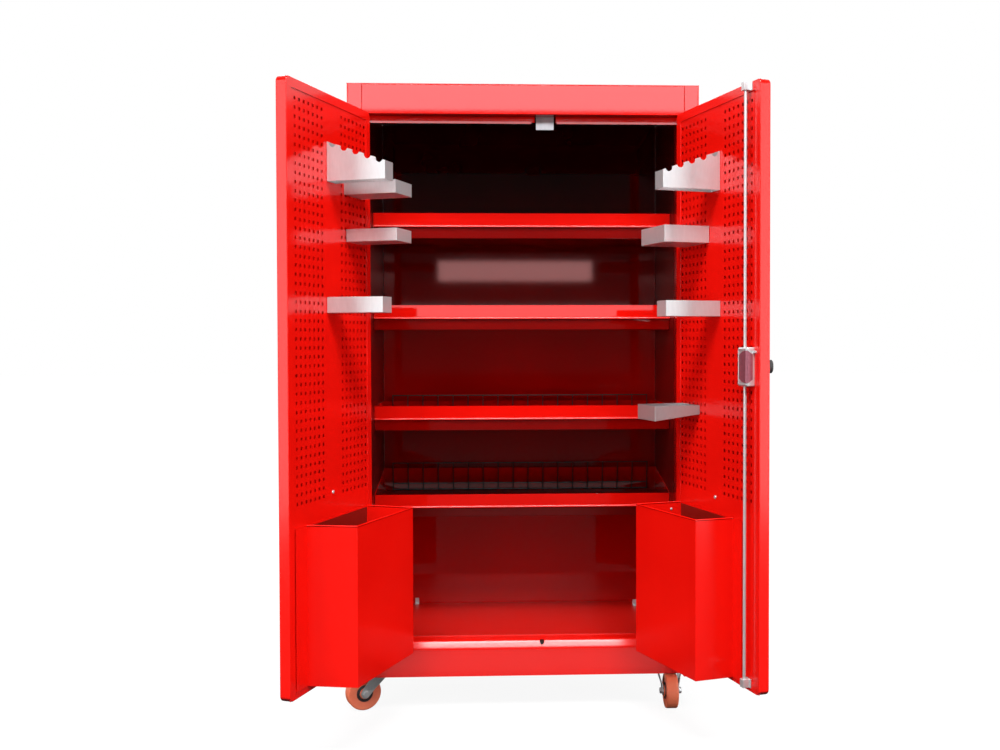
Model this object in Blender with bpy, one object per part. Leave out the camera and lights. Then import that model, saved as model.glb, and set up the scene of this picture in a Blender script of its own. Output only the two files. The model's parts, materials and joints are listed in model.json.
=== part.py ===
"""Steel tool cabinet on four swivel casters, with both doors standing open. Metres, +Z up.

The cabinet is laid out from the front plane of its corner posts: x to the right, y into the depth, z from
the ground. On a door, u is the distance from the hinge axis and t the depth behind the outer face.
"""

import math

import bmesh
import bpy

for old in list(bpy.data.objects):
    bpy.data.objects.remove(old, do_unlink=True)

# Sheet metal and the clearances that relate one piece to the next.
SHEET = 0.0015
SEAM = 0.0003
DOOR_GAP = 0.0015
STOP_GAP = 0.0015
RUNNING_GAP = 0.0003

# Carcass
CABINET_WIDTH = 1.000
CABINET_DEPTH = 0.500
CABINET_HEIGHT = 1.800
UNDERSIDE = 0.103
FLOOR = 0.204
POST_FACE = 0.042
WALL_DEPTH = 0.051
POST_RADIUS = 0.005
HEADER_HEIGHT = 0.086
HEADER_FLANGE = 0.030
STOP_DROP = 0.016
PLUG_DEPTH = 0.020
BACK_RECESS = 0.012
BACK_FLANGE = 0.0105
FLOOR_RADIUS = 0.006
BEAM_SHEET = 0.003
BEAM_WIDTH = 0.089

# Trays and fences
TRAY_1_RIM = 1.458
TRAY_2_RIM = 1.181
TRAY_3_RIM = 0.876
TRAY_4_RIM = 0.607
TRAY_DEPTH = 0.280
TRAY_HEIGHT = 0.075
TRAY_LIP = 0.040
TRAY_SLANT = 0.014
TRAY_GAP = 0.002
LOW_TRAY_TILT = math.radians(10.0)
FENCE_WIDTH = 0.840
FENCE_RISE = 0.020
FENCE_ROW = 0.069
FENCE_BAR = 0.004
FENCE_CELLS = 17

# Doors and hinges
DOOR_THICKNESS = 0.030
DOOR_LIP = 0.025
DOOR_RADIUS = 0.005
DOOR_OVERLAP = 0.006
DOOR_TOP_GAP = 0.003
LEFT_OPEN = math.radians(109.3)
RIGHT_OPEN = math.radians(106.5)
HINGE_OUT = 0.006
HINGE_FORWARD = 0.007
BARREL_RADIUS = 0.006
PIN_RADIUS = 0.0032
BARREL_HEIGHT = 0.045
HINGE_LEAF = 0.002
LEAF_REACH = 0.030
HINGE_MARGIN = 0.100

# Perforated panels: square holes in two zones with a plain strip between them
PANEL_SHEET = 0.0012
PANEL_GAP = 0.0005
HOLE = 0.0105
HOLE_PITCH = 0.0675
ZONE_COLUMNS = 3
HOLE_MARGIN = 0.035
TOP_HOLE_MARGIN = 0.047
LOWEST_HOLE = 0.674

# Bins and tool holders on the doors
BIN_HINGE_END = 0.040
BIN_EDGE = 0.0825
BIN_FLANGE = 0.045
BIN_NEAR_DEPTH = 0.107
BIN_FAR_DEPTH = 0.140
BIN_CLEARANCE = 0.004
BIN_HEIGHT = 0.412
RACK_WIDTH = 0.048
RACK_REACH = 0.164
RACK_BACK_HEIGHT = 0.102
RACK_END_HEIGHT = 0.046
SCALLOPS = 5
SCALLOP_RADIUS = 0.010
LEFT_RACK_DROP = 0.226
RIGHT_RACK_DROP = 0.245
BOX_WIDTH = 0.054
BOX_REACH = 0.157
BOX_HEIGHT = 0.041
LEFT_BOX_DROP = 0.565
RIGHT_BOX_DROP = 0.575

# Trays on the doors: place along the door, size, and drop of the floor below the top of the door
LEFT_SMALL_TRAY_U = 0.060
LEFT_SMALL_TRAY_WIDTH = 0.105
LEFT_SMALL_TRAY_REACH = 0.150
LEFT_SMALL_TRAY_HEIGHT = 0.035
LEFT_SMALL_TRAY_DROP = 0.249
LEFT_SHELF_TRAY_U = 0.057
LEFT_SHELF_TRAY_WIDTH = 0.096
LEFT_SHELF_TRAY_REACH = 0.147
LEFT_SHELF_TRAY_HEIGHT = 0.034
LEFT_SHELF_TRAY_DROP = 0.373
RIGHT_SHELF_TRAY_U = 0.053
RIGHT_SHELF_TRAY_WIDTH = 0.147
RIGHT_SHELF_TRAY_REACH = 0.131
RIGHT_SHELF_TRAY_HEIGHT = 0.045
RIGHT_SHELF_TRAY_DROP = 0.378
RIGHT_LOW_TRAY_U = 0.036
RIGHT_LOW_TRAY_WIDTH = 0.112
RIGHT_LOW_TRAY_REACH = 0.134
RIGHT_LOW_TRAY_HEIGHT = 0.041
RIGHT_LOW_TRAY_DROP = 0.855

# Rod lock: a knob turns a pinion that drives two racked rods
LOCK_Z = 1.008
ROD_EDGE = 0.0485
ROD_RADIUS = 0.004
ROD_T = 0.043
CASE_WIDTH = 0.046
CASE_HEIGHT = 0.097
CASE_WALL = 0.002
CASE_DEPTH = 0.0235
GEAR_TEETH = 12
MODULE = 0.0015
ADDENDUM = 0.001
DEDENDUM = 0.001875
BACKLASH = 0.00015
PRESSURE_ANGLE = math.radians(20.0)
GEAR_WIDTH = 0.005
RACK_BLADE = 0.0046
RACK_HALF = 0.024
CRANK = 0.008
SPINDLE_RADIUS = 0.006
SPINDLE_OUT = 0.012
KNOB_HEIGHT = 0.034
KNOB_WIDTH = 0.018
KNOB_LENGTH = 0.034
GUIDE_WIDTH = 0.024
GUIDE_HEIGHT = 0.022
GUIDE_PLATE = 0.002
GUIDE_WALL = 0.004
GUIDE_EDGE = 0.001
STRIKER_WIDTH = 0.051
STRIKER_OFFSET = 0.014
STRIKER_DROP = 0.034
STRIKER_FRONT = 0.006
STRIKER_GAP = 0.003
STRIKER_MARGIN = 0.005
KEEPER_RADIUS = 0.0065

# Casters
CASTER_X = 0.426
CASTER_FRONT_Y = 0.092
CASTER_REAR_Y = 0.4385
CASTER_HEIGHT = 0.128
PLATE_SHEET = 0.004
PLATE_LENGTH = 0.100
PLATE_WIDTH = 0.085
PLATE_RADIUS = 0.008
RACEWAY_RADIUS = 0.028
RACEWAY_DEPTH = 0.0075
KINGPIN_RADIUS = 0.006
KINGPIN_HEAD = 0.010
KINGPIN_HEAD_DEPTH = 0.0032
CROWN_LENGTH = 0.068
CROWN_WIDTH = 0.078
CROWN_DEPTH = 0.0062
CROWN_RADIUS = 0.018
LEG_SHEET = 0.003
LEG_TOP = 0.026
LEG_BOSS = 0.0135
LEG_LEAN = 0.014
TRAIL = 0.050
WHEEL_RADIUS = 0.050
TREAD_HALF = 0.0175
HUB_HALF = 0.020
HUB_RADIUS = 0.015
LEG_GAP = 0.0015
AXLE_RADIUS = 0.005
AXLE_HEAD = 0.008
AXLE_HEAD_DEPTH = 0.0067
HEADINGS = {"front_left": 205.0, "front_right": 270.0, "rear_left": 160.0, "rear_right": 20.0}

# Finishes: colour, roughness, metallic
RED_PAINT = ((0.72, 0.008, 0.005), 0.28, 0.0)
ZINC = ((0.66, 0.64, 0.62), 0.32, 0.9)
BLACK_WIRE = ((0.012, 0.012, 0.013), 0.45, 0.0)
ORANGE_WHEEL = ((0.62, 0.075, 0.015), 0.45, 0.0)
BLACK_PLASTIC = ((0.02, 0.02, 0.022), 0.4, 0.0)

SIDES = (("left", 1), ("right", -1))
OPENING_HALF = CABINET_WIDTH / 2 - POST_FACE
INNER_HALF = CABINET_WIDTH / 2 - WALL_DEPTH
FIT_HALF = INNER_HALF - SEAM
WALL_TOP = CABINET_HEIGHT - SHEET - SEAM
HEADER_BOTTOM = CABINET_HEIGHT - HEADER_HEIGHT
STOP_PLANE = DOOR_THICKNESS + STOP_GAP
REBATE = STOP_PLANE + SHEET + DOOR_GAP
BACK_FACE = CABINET_DEPTH - BACK_RECESS
NOTCH_FRONT = REBATE + 4 * SHEET
NOTCH_REAR = CABINET_DEPTH - BEAM_SHEET * 3
HINGE_X = OPENING_HALF + HINGE_OUT
HINGE_EDGE = HINGE_OUT + DOOR_GAP
FREE_EDGE = HINGE_X - DOOR_GAP
DOOR_BOTTOM = FLOOR - DOOR_OVERLAP
DOOR_TOP = HEADER_BOTTOM - DOOR_TOP_GAP
PANEL_FACE = DOOR_THICKNESS - SHEET - SEAM
HOLDER_BACK = PANEL_FACE + SEAM
BIN_BACK = DOOR_THICKNESS + SEAM
TRAY_FRONT = HOLDER_BACK + RACK_REACH + TRAY_GAP
TRAY_RIMS = (TRAY_1_RIM, TRAY_2_RIM, TRAY_3_RIM, TRAY_4_RIM)
STRIP_U = (HINGE_EDGE + FREE_EDGE) / 2
ROD_U = FREE_EDGE - ROD_EDGE
GEAR_RADIUS = GEAR_TEETH * MODULE / 2
CASE_FRONT = HOLDER_BACK + CASE_DEPTH
SPINDLE_END = CASE_FRONT - CASE_WALL - SEAM
STRIKER_Z = HEADER_BOTTOM + SHEET + SEAM
GUIDE_BACK = DOOR_THICKNESS + SEAM
GUIDE_FRONT = ROD_T + ROD_RADIUS + GUIDE_WALL
KEEPER_X = HINGE_X - ROD_U
AXLE_Z = WHEEL_RADIUS
LEG_INNER = HUB_HALF + LEG_GAP
SWING = {1: -LEFT_OPEN, -1: RIGHT_OPEN}
DIAGONAL = math.sqrt(0.5)


def rect(x0, y0, x1, y1):
    return [(x0, y0), (x1, y0), (x1, y1), (x0, y1)]


def circle(radius, segments, x=0.0, y=0.0):
    steps = [2 * math.pi * i / segments for i in range(segments)]
    return [(x + radius * math.cos(a), y + radius * math.sin(a)) for a in steps]


def oval(length, width, segments):
    return [(a * width / 2, b * length / 2) for a, b in circle(1.0, segments)]


def rounded_rect(x_half, y_half, radius, per_corner):
    """Rectangle round the origin with arcs for corners, starting like circle() on the +x side."""
    points = []
    for quarter in range(4):
        x = (x_half - radius) * (1, -1, -1, 1)[quarter]
        y = (y_half - radius) * (1, 1, -1, -1)[quarter]
        for step in range(per_corner):
            angle = math.pi / 2 * (quarter + step / (per_corner - 1))
            points.append((x + radius * math.cos(angle), y + radius * math.sin(angle)))
    return points


def hexagon(across, x=0.0, y=0.0):
    """Hexagon with a point halfway along each side, so that it has twelve."""
    corner = across / math.sqrt(3)
    reach = (corner, across / 2)
    points = []
    for i in range(12):
        angle = math.pi / 6 * i
        points.append((x + reach[i % 2] * math.cos(angle), y + reach[i % 2] * math.sin(angle)))
    return points


def left_of(start, end):
    length = math.dist(start, end)
    return ((start[1] - end[1]) / length, (end[0] - start[0]) / length)


def mitre(point, first, second, distance):
    scale = distance / (1 + first[0] * second[0] + first[1] * second[1])
    return (point[0] + scale * (first[0] + second[0]), point[1] + scale * (first[1] + second[1]))


def inset(outline, distance):
    """The closed outline moved inwards, with mitred corners."""
    following = outline[1:] + outline[:1]
    area = sum(a[0] * b[1] - b[0] * a[1] for a, b in zip(outline, following))
    normals = [left_of(a, b) for a, b in zip(outline, following)]
    inwards = math.copysign(distance, area)
    return [mitre(*each, inwards) for each in zip(outline, normals[-1:] + normals[:-1], normals)]


def folded(path, thickness):
    """Outline of a sheet folded along an open path, with its thickness on the left of the path."""
    normals = [left_of(a, b) for a, b in zip(path, path[1:])]
    ends = zip(path, normals[:1] + normals, normals + normals[-1:])
    return path + [mitre(*each, thickness) for each in ends][::-1]


def place(point, level, axis, shift):
    a, b = point
    x, y, z = {"X": (level, a, b), "Y": (a, level, b), "Z": (a, b, level)}[axis]
    return (x + shift[0], y + shift[1], z + shift[2])


def empty(name, parent, at, turn=0.0):
    made = bpy.data.objects.new(name, None)
    made.empty_display_size = 0.05
    made.parent = parent
    made.location = at
    made.rotation_euler = (0.0, 0.0, turn)
    bpy.context.scene.collection.objects.link(made)
    return made


def make(name, parent, sections, axis="Z", finish=None, ring=False, at=(0, 0, 0), shifts=((0, 0, 0),)):
    """Skin outlines of equal length, each at its level along an axis, into one closed solid a shift."""
    mesh = bmesh.new()
    for shift in shifts:
        rows = []
        for outline, level in sections:
            rows.append([mesh.verts.new(place(point, level, axis, shift)) for point in outline])
        pairs = list(zip(rows, rows[1:]))
        if ring:
            pairs.append((rows[-1], rows[0]))
        else:
            mesh.faces.new(rows[0])
            mesh.faces.new(rows[-1])
        for low, high in pairs:
            for i in range(len(low)):
                mesh.faces.new((low[i - 1], low[i], high[i], high[i - 1]))
    bmesh.ops.recalc_face_normals(mesh, faces=mesh.faces)
    data = bpy.data.meshes.new(name)
    mesh.to_mesh(data)
    mesh.free()
    data.shade_smooth()
    data.set_sharp_from_angle(angle=math.radians(35))
    made = bpy.data.objects.new(name, data)
    made.parent = parent
    made.location = at
    bpy.context.scene.collection.objects.link(made)
    if finish:
        paint = bpy.data.materials.new(name)
        paint.use_nodes = True
        shader = paint.node_tree.nodes["Principled BSDF"]
        shader.inputs["Base Color"].default_value = (*finish[0], 1.0)
        shader.inputs["Roughness"].default_value = finish[1]
        shader.inputs["Metallic"].default_value = finish[2]
        data.materials.append(paint)
    return made


def combine(target, operation, tool):
    """Join a tool solid to the target, or cut it out, and keep the tool out of the render."""
    tool.hide_render = True
    tool.display_type = "WIRE"
    modifier = target.modifiers.new(tool.name, "BOOLEAN")
    modifier.operation = operation
    modifier.solver = "EXACT"
    modifier.object = tool


def box(name, parent, low, high, at=(0, 0, 0), shifts=((0, 0, 0),)):
    outline = rect(low[0], low[1], high[0], high[1])
    return make(name, parent, [(outline, low[2]), (outline, high[2])], at=at, shifts=shifts)


def rod(name, parent, radius, low, high, axis="Z", centre=(0.0, 0.0), segments=16, at=(0, 0, 0)):
    outline = circle(radius, segments, *centre)
    return make(name, parent, [(outline, low), (outline, high)], axis, at=at)


def door_point(side, u, t):
    """Where a point of an open door stands in plan."""
    along, across = side * u, t + HINGE_FORWARD
    cos, sin = math.cos(SWING[side]), math.sin(SWING[side])
    return (along * cos - across * sin - side * HINGE_X, along * sin + across * cos - HINGE_FORWARD)


# The origin is the centre of everything in plan: the doors and the knob reach furthest out, and the sides
# reach furthest back.
corner = DOOR_RADIUS * (1 - DIAGONAL)
tips = []
for side in SWING:
    for edge in (HINGE_EDGE, FREE_EDGE):
        inward = math.copysign(1, FREE_EDGE + HINGE_EDGE - 2 * edge)
        tips.append(door_point(side, edge + inward * DOOR_RADIUS, 0.0))
        tips.append(door_point(side, edge + inward * corner, corner))
        tips.append(door_point(side, edge, DOOR_RADIUS))
        tips.append(door_point(side, edge, DOOR_THICKNESS))
for across, along in oval(KNOB_LENGTH, KNOB_WIDTH, 24):
    tips.append(door_point(-1, ROD_U + across, -SEAM - KNOB_HEIGHT))
lefts = [tip[0] for tip in tips] + [-CABINET_WIDTH / 2]
rights = [tip[0] for tip in tips] + [CABINET_WIDTH / 2]
fronts = [tip[1] for tip in tips] + [0.0]
ORIGIN_X = (min(lefts) + max(rights)) / 2
ORIGIN_Y = (min(fronts) + CABINET_DEPTH) / 2
root = empty("cabinet", None, (-ORIGIN_X, -ORIGIN_Y, 0.0))

# Sides: double-walled, with the corner post folded at the front. The inner wall is cut away below the
# floor for the casters.
for word, side in SIDES:
    curve = POST_RADIUS * (1 - DIAGONAL)
    plan = [(0, POST_RADIUS), (curve, curve), (POST_RADIUS, 0), (POST_FACE, 0), (POST_FACE, REBATE)]
    plan += [(WALL_DEPTH, REBATE), (WALL_DEPTH, CABINET_DEPTH), (0, CABINET_DEPTH)]
    outer = [(side * (a - CABINET_WIDTH / 2), y) for a, y in plan]
    inner = inset(outer, SHEET)
    sections = [(outer, UNDERSIDE), (outer, WALL_TOP), (inner, WALL_TOP), (inner, UNDERSIDE)]
    wall = make(f"{word}_side", root, sections, finish=RED_PAINT, ring=True)
    low = (-side * (CABINET_WIDTH / 2 - POST_RADIUS * 2), NOTCH_FRONT, UNDERSIDE - 0.010)
    high = (-side * (INNER_HALF - 0.010), NOTCH_REAR, FLOOR - SHEET)
    combine(wall, "DIFFERENCE", box(f"{word}_side_notch", root, low, high))

# Top panel: a plate with a plug flange that drops between the sides.
plate = rect(-CABINET_WIDTH / 2, 0.0, CABINET_WIDTH / 2, CABINET_DEPTH)
plug = rect(-FIT_HALF, REBATE, FIT_HALF, BACK_FACE - SEAM)
plate_z = CABINET_HEIGHT - SHEET
sections = [(plate, CABINET_HEIGHT), (plate, plate_z), (plug, plate_z), (plug, plate_z - PLUG_DEPTH)]
sections += [(inset(plug, SHEET), plate_z - PLUG_DEPTH), (inset(plug, SHEET), plate_z)]
make("top_panel", root, sections, finish=RED_PAINT)

# Header rail between the posts, folded to end in the strip that stops the doors. The strip is notched
# where the lock passes.
path = [(HEADER_FLANGE, WALL_TOP), (0.0, WALL_TOP), (0.0, HEADER_BOTTOM), (STOP_PLANE, HEADER_BOTTOM)]
outline = folded(path + [(STOP_PLANE, HEADER_BOTTOM - STOP_DROP)], SHEET)
span = OPENING_HALF - SEAM
header = make("header_rail", root, [(outline, -span), (outline, span)], "X", RED_PAINT)
striker_x0 = KEEPER_X - STRIKER_OFFSET
striker_x1 = striker_x0 + STRIKER_WIDTH
low = (striker_x0 - STRIKER_MARGIN, STOP_PLANE - SHEET, HEADER_BOTTOM - STOP_DROP - SHEET)
high = (striker_x1 + STRIKER_MARGIN, STOP_PLANE + 2 * SHEET, HEADER_BOTTOM - SEAM)
combine(header, "DIFFERENCE", box("header_notch", root, low, high))

# Back panel: a pan with its flanges turned to the rear.
outer = rect(-FIT_HALF, FLOOR + SEAM, FIT_HALF, WALL_TOP)
inner = inset(outer, SHEET)
rear = BACK_FACE + BACK_FLANGE
sections = [(outer, BACK_FACE), (outer, rear), (inner, rear), (inner, BACK_FACE + SHEET)]
make("back_panel", root, sections, "Y", RED_PAINT)

# Base pan: floor, front apron and rear apron folded from one sheet, with a hole for the lower rod.
rear = CABINET_DEPTH - SEAM
curve = FLOOR_RADIUS * (1 - DIAGONAL)
path = [(rear, UNDERSIDE), (rear, FLOOR - FLOOR_RADIUS), (rear - curve, FLOOR - curve)]
path += [(rear - FLOOR_RADIUS, FLOOR), (STOP_PLANE + FLOOR_RADIUS, FLOOR)]
path += [(STOP_PLANE + curve, FLOOR - curve), (STOP_PLANE, FLOOR - FLOOR_RADIUS), (STOP_PLANE, UNDERSIDE)]
outline = folded(path, SHEET)
base = make("base_pan", root, [(outline, -FIT_HALF), (outline, FIT_HALF)], "X", RED_PAINT)
keeper = (KEEPER_X, ROD_T)
hole = rod("floor_hole", root, KEEPER_RADIUS, FLOOR - 0.010, FLOOR + 0.010, centre=keeper)
combine(base, "DIFFERENCE", hole)

# Caster beams: channels welded under the floor.
for word, side in SIDES:
    middle = -side * CASTER_X
    low, high = CASTER_HEIGHT + SEAM, FLOOR - SHEET - SEAM
    near, far = middle - BEAM_WIDTH / 2, middle + BEAM_WIDTH / 2
    outline = folded([(near, high), (near, low), (far, low), (far, high)], BEAM_SHEET)
    ends = [(outline, NOTCH_FRONT + SHEET), (outline, BACK_FACE)]
    make(f"{word}_caster_beam", root, ends, "Y", RED_PAINT)

# Striker: an angle on the header's flange. Its top takes the upper rod and its back stands behind the guide.
face = GUIDE_FRONT + STRIKER_GAP
path = [(STRIKER_FRONT, STRIKER_Z), (face, STRIKER_Z), (face, STRIKER_Z - STRIKER_DROP)]
outline = folded(path, SHEET)
striker = make("rod_striker", root, [(outline, striker_x0), (outline, striker_x1)], "X", ZINC)
hole = rod("striker_hole", root, KEEPER_RADIUS, STRIKER_Z - 0.010, STRIKER_Z + 0.010, centre=keeper)
combine(striker, "DIFFERENCE", hole)

# Trays: deep open boxes between the sides. The lowest is tilted with its back raised, and the two lower
# trays have a wire fence against their back wall.
outer = rect(-FIT_HALF, 0.0, FIT_HALF, TRAY_DEPTH)
foot = rect(-FIT_HALF, TRAY_SLANT, FIT_HALF, TRAY_DEPTH)
sections = [(foot, -TRAY_HEIGHT), (outer, -TRAY_LIP), (outer, 0.0), (inset(outer, SHEET), 0.0)]
sections += [(inset(outer, SHEET), -TRAY_LIP), (inset(foot, SHEET), SHEET - TRAY_HEIGHT)]
fence_back = TRAY_DEPTH - SHEET - SEAM
fence_foot = SHEET + SEAM - TRAY_HEIGHT
cell = (FENCE_WIDTH - FENCE_BAR) / FENCE_CELLS
first = FENCE_BAR - FENCE_WIDTH / 2
row_split = FENCE_RISE - FENCE_ROW
cuts = [(row_split, FENCE_RISE - FENCE_BAR), (fence_foot + FENCE_BAR, row_split - FENCE_BAR)]
for number, rim in enumerate(TRAY_RIMS, 1):
    tray = make(f"tray_{number}", root, sections, finish=RED_PAINT, at=(0.0, TRAY_FRONT, rim))
    if number == 4:
        tray.rotation_euler.x = LOW_TRAY_TILT
    if number < 3:
        continue
    outline = rect(-FENCE_WIDTH / 2, fence_foot, FENCE_WIDTH / 2, FENCE_RISE)
    ends = [(outline, fence_back - FENCE_BAR), (outline, fence_back)]
    fence = make(f"tray_{number}_fence", tray, ends, "Y", BLACK_WIRE)
    shifts = [(cell * i, 0, 0) for i in range(FENCE_CELLS)]
    for row, (bottom, top) in enumerate(cuts):
        low = (first, fence_back - 2 * FENCE_BAR, bottom)
        high = (first + cell - FENCE_BAR, fence_back + FENCE_BAR, top)
        cutter = box(f"tray_{number}_cells_{row}", tray, low, high, shifts=shifts)
        combine(fence, "DIFFERENCE", cutter)


def at_t(t):
    return t + HINGE_FORWARD


def cup(name, parent, outline, bottom, height, finish):
    """Sheet container with an open top."""
    inner = inset(outline, SHEET)
    top = bottom + height
    sections = [(outline, bottom), (outline, top), (inner, top), (inner, bottom + SHEET)]
    return make(name, parent, sections, finish=finish)


def holder_tray(name, side, u, width, reach, height, drop):
    outline = rect(side * u, at_t(HOLDER_BACK), side * (u + width), at_t(HOLDER_BACK + reach))
    return cup(name, doors[side][0], outline, DOOR_TOP - drop, height, ZINC)


def door_rect(side, margin):
    low, high = DOOR_BOTTOM + margin, DOOR_TOP - margin
    return rect(side * (HINGE_EDGE + margin), low, side * (FREE_EDGE - margin), high)


def door_pan(word, side, parent, hinge_zs):
    """Outer sheet with its edges turned in and lipped, and the socket halves of the hinges joined to it."""
    curve = DOOR_RADIUS * (1 - DIAGONAL)
    back = DOOR_THICKNESS - SHEET
    steps = [(DOOR_RADIUS, 0.0), (curve, curve), (0.0, DOOR_RADIUS), (0.0, DOOR_THICKNESS)]
    steps += [(DOOR_LIP, DOOR_THICKNESS), (DOOR_LIP, back), (SHEET, back), (SHEET, DOOR_RADIUS)]
    steps += [(DOOR_RADIUS, SHEET)]
    sections = [(door_rect(side, margin), at_t(t)) for margin, t in steps]
    pan = make(f"{word}_door_pan", parent, sections, "Y", RED_PAINT)
    root_u = HINGE_EDGE + DOOR_RADIUS + SEAM
    clear = HINGE_FORWARD - SEAM
    start = math.asin((clear - HINGE_LEAF) / BARREL_RADIUS)
    sweep = 1.5 * math.pi + start
    turns = [math.pi / 2 + sweep * i / 12 for i in range(13)]
    outline = [(BARREL_RADIUS * math.cos(a), BARREL_RADIUS * math.sin(a)) for a in turns]
    reach = HINGE_OUT + LEAF_REACH
    outline += [(reach, clear - HINGE_LEAF), (reach, HINGE_FORWARD + SHEET / 2)]
    outline += [(root_u, HINGE_FORWARD + SHEET / 2), (root_u, clear), (0.0, clear)]
    outline = [(side * x, y) for x, y in outline]
    low, high = BARREL_HEIGHT + SEAM, 2 * BARREL_HEIGHT
    shifts = [(0, 0, z) for z in hinge_zs]
    sockets = make(f"{word}_sockets", parent, [(outline, low), (outline, high)], shifts=shifts)
    combine(pan, "UNION", sockets)
    bore = circle(PIN_RADIUS + RUNNING_GAP, 16)
    ends = [(bore, low - SHEET), (bore, high + SHEET)]
    combine(pan, "DIFFERENCE", make(f"{word}_socket_bores", parent, ends, shifts=shifts))
    return pan


def hinge_pin(name, side, z):
    """Pin half of a lift-off hinge, with its leaf on the face of the post."""
    place_at = (-side * HINGE_X, -HINGE_FORWARD, z)
    thick, thin = circle(BARREL_RADIUS, 16), circle(PIN_RADIUS, 16)
    pin_top = 2 * BARREL_HEIGHT - PIN_RADIUS
    sections = [(thick, 0.0), (thick, BARREL_HEIGHT), (thin, BARREL_HEIGHT), (thin, pin_top)]
    pin = make(name, root, sections, finish=RED_PAINT, at=place_at)
    clear = HINGE_FORWARD - SEAM
    low = (0.0, clear - HINGE_LEAF, SEAM)
    high = (-side * LEAF_REACH, clear, BARREL_HEIGHT - SEAM)
    combine(pin, "UNION", box(f"{name}_leaf", root, low, high, at=place_at))


def door_panel(word, side, parent):
    """Perforated sheet behind the lips of the door."""
    outline = door_rect(side, SHEET + PANEL_GAP)
    ends = [(outline, at_t(PANEL_FACE - PANEL_SHEET)), (outline, at_t(PANEL_FACE))]
    panel = make(f"{word}_door_panel", parent, ends, "Y", RED_PAINT)
    shifts = []
    top_row = DOOR_TOP - TOP_HOLE_MARGIN
    for row in range(int((top_row - LOWEST_HOLE) / HOLE_PITCH) + 1):
        for column in range(ZONE_COLUMNS):
            for u in (HINGE_EDGE + HOLE_MARGIN, FREE_EDGE - HOLE_MARGIN):
                inward = math.copysign(HOLE_PITCH, FREE_EDGE / 2 - u)
                shifts.append((side * (u + inward * column), 0.0, top_row - HOLE_PITCH * row))
    low = (-HOLE / 2, at_t(PANEL_FACE - 2 * PANEL_SHEET), -HOLE / 2)
    high = (HOLE / 2, at_t(PANEL_FACE + PANEL_SHEET), HOLE / 2)
    combine(panel, "DIFFERENCE", box(f"{word}_perforation", parent, low, high, shifts=shifts))
    return panel


def bin_box(word, side, parent):
    """Deep bin, deeper at the hinge end, with a fixing flange at the free end."""
    u0, u1 = BIN_HINGE_END, FREE_EDGE - BIN_EDGE - BIN_FLANGE
    bottom = FLOOR + BIN_CLEARANCE
    plan = [(u0, BIN_BACK), (u1, BIN_BACK), (u1, BIN_BACK + BIN_NEAR_DEPTH), (u0, BIN_BACK + BIN_FAR_DEPTH)]
    outline = [(side * u, at_t(t)) for u, t in plan]
    body = cup(f"{word}_bin", parent, outline, bottom, BIN_HEIGHT, RED_PAINT)
    low = (side * (u1 - SHEET / 2), at_t(BIN_BACK + SEAM), bottom + SHEET)
    high = (side * (u1 + BIN_FLANGE), at_t(BIN_BACK + SEAM + SHEET), bottom + BIN_HEIGHT - SHEET)
    combine(body, "UNION", box(f"{word}_bin_flange", parent, low, high))


def spanner_rack(word, side, drop):
    """Open frame whose two side walls have a sloping edge with scallops for spanners."""
    parent, bottom = doors[side][0], DOOR_TOP - drop
    back, end = at_t(HOLDER_BACK), at_t(HOLDER_BACK + RACK_REACH)
    foot = (end, bottom + RACK_END_HEIGHT)
    head = (back, bottom + RACK_BACK_HEIGHT)
    length = math.dist(foot, head)
    along = ((head[0] - foot[0]) / length, (head[1] - foot[1]) / length)
    down = (-along[1], along[0])
    if down[1] > 0:
        down = (along[1], -along[0])
    outline = [(back, bottom), (end, bottom), foot]
    for i in range(SCALLOPS):
        middle = length * (i + 0.5) / SCALLOPS
        for k in range(7):
            s = middle - SCALLOP_RADIUS * math.cos(math.pi * k / 6)
            d = SCALLOP_RADIUS * math.sin(math.pi * k / 6)
            outline.append((foot[0] + s * along[0] + d * down[0], foot[1] + s * along[1] + d * down[1]))
    outline.append(head)
    u0, u1 = side * (STRIP_U - RACK_WIDTH / 2), side * (STRIP_U + RACK_WIDTH / 2)
    frame = make(f"{word}_spanner_rack", parent, [(outline, u0), (outline, u1)], "X", ZINC)
    low = (u0 + side * SHEET, back + SHEET, bottom - SHEET)
    high = (u1 - side * SHEET, end - SHEET, head[1] + SHEET)
    combine(frame, "DIFFERENCE", box(f"{word}_rack_space", parent, low, high))


doors = {}
for word, side in SIDES:
    swing = empty(f"{word}_door_axis", root, (-side * HINGE_X, -HINGE_FORWARD, 0.0), SWING[side])
    low = DOOR_BOTTOM + HINGE_MARGIN
    high = DOOR_TOP - HINGE_MARGIN - 2 * BARREL_HEIGHT
    hinge_zs = (low, (low + high) / 2, high)
    for number, z in enumerate(hinge_zs, 1):
        hinge_pin(f"{word}_hinge_pin_{number}", side, z)
    pan = door_pan(word, side, swing, hinge_zs)
    panel = door_panel(word, side, swing)
    bin_box(word, side, swing)
    doors[side] = (swing, pan, panel)

# Holders: racks and narrow boxes on the plain strip, trays near the hinges.
spanner_rack("left", 1, LEFT_RACK_DROP)
spanner_rack("right", -1, RIGHT_RACK_DROP)
box_u = STRIP_U - BOX_WIDTH / 2
holder_tray("left_box_bracket", 1, box_u, BOX_WIDTH, BOX_REACH, BOX_HEIGHT, LEFT_BOX_DROP)
holder_tray("right_box_bracket", -1, box_u, BOX_WIDTH, BOX_REACH, BOX_HEIGHT, RIGHT_BOX_DROP)
small = (LEFT_SMALL_TRAY_U, LEFT_SMALL_TRAY_WIDTH, LEFT_SMALL_TRAY_REACH, LEFT_SMALL_TRAY_HEIGHT)
holder_tray("left_small_tray", 1, *small, LEFT_SMALL_TRAY_DROP)
shelf = (LEFT_SHELF_TRAY_U, LEFT_SHELF_TRAY_WIDTH, LEFT_SHELF_TRAY_REACH, LEFT_SHELF_TRAY_HEIGHT)
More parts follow.
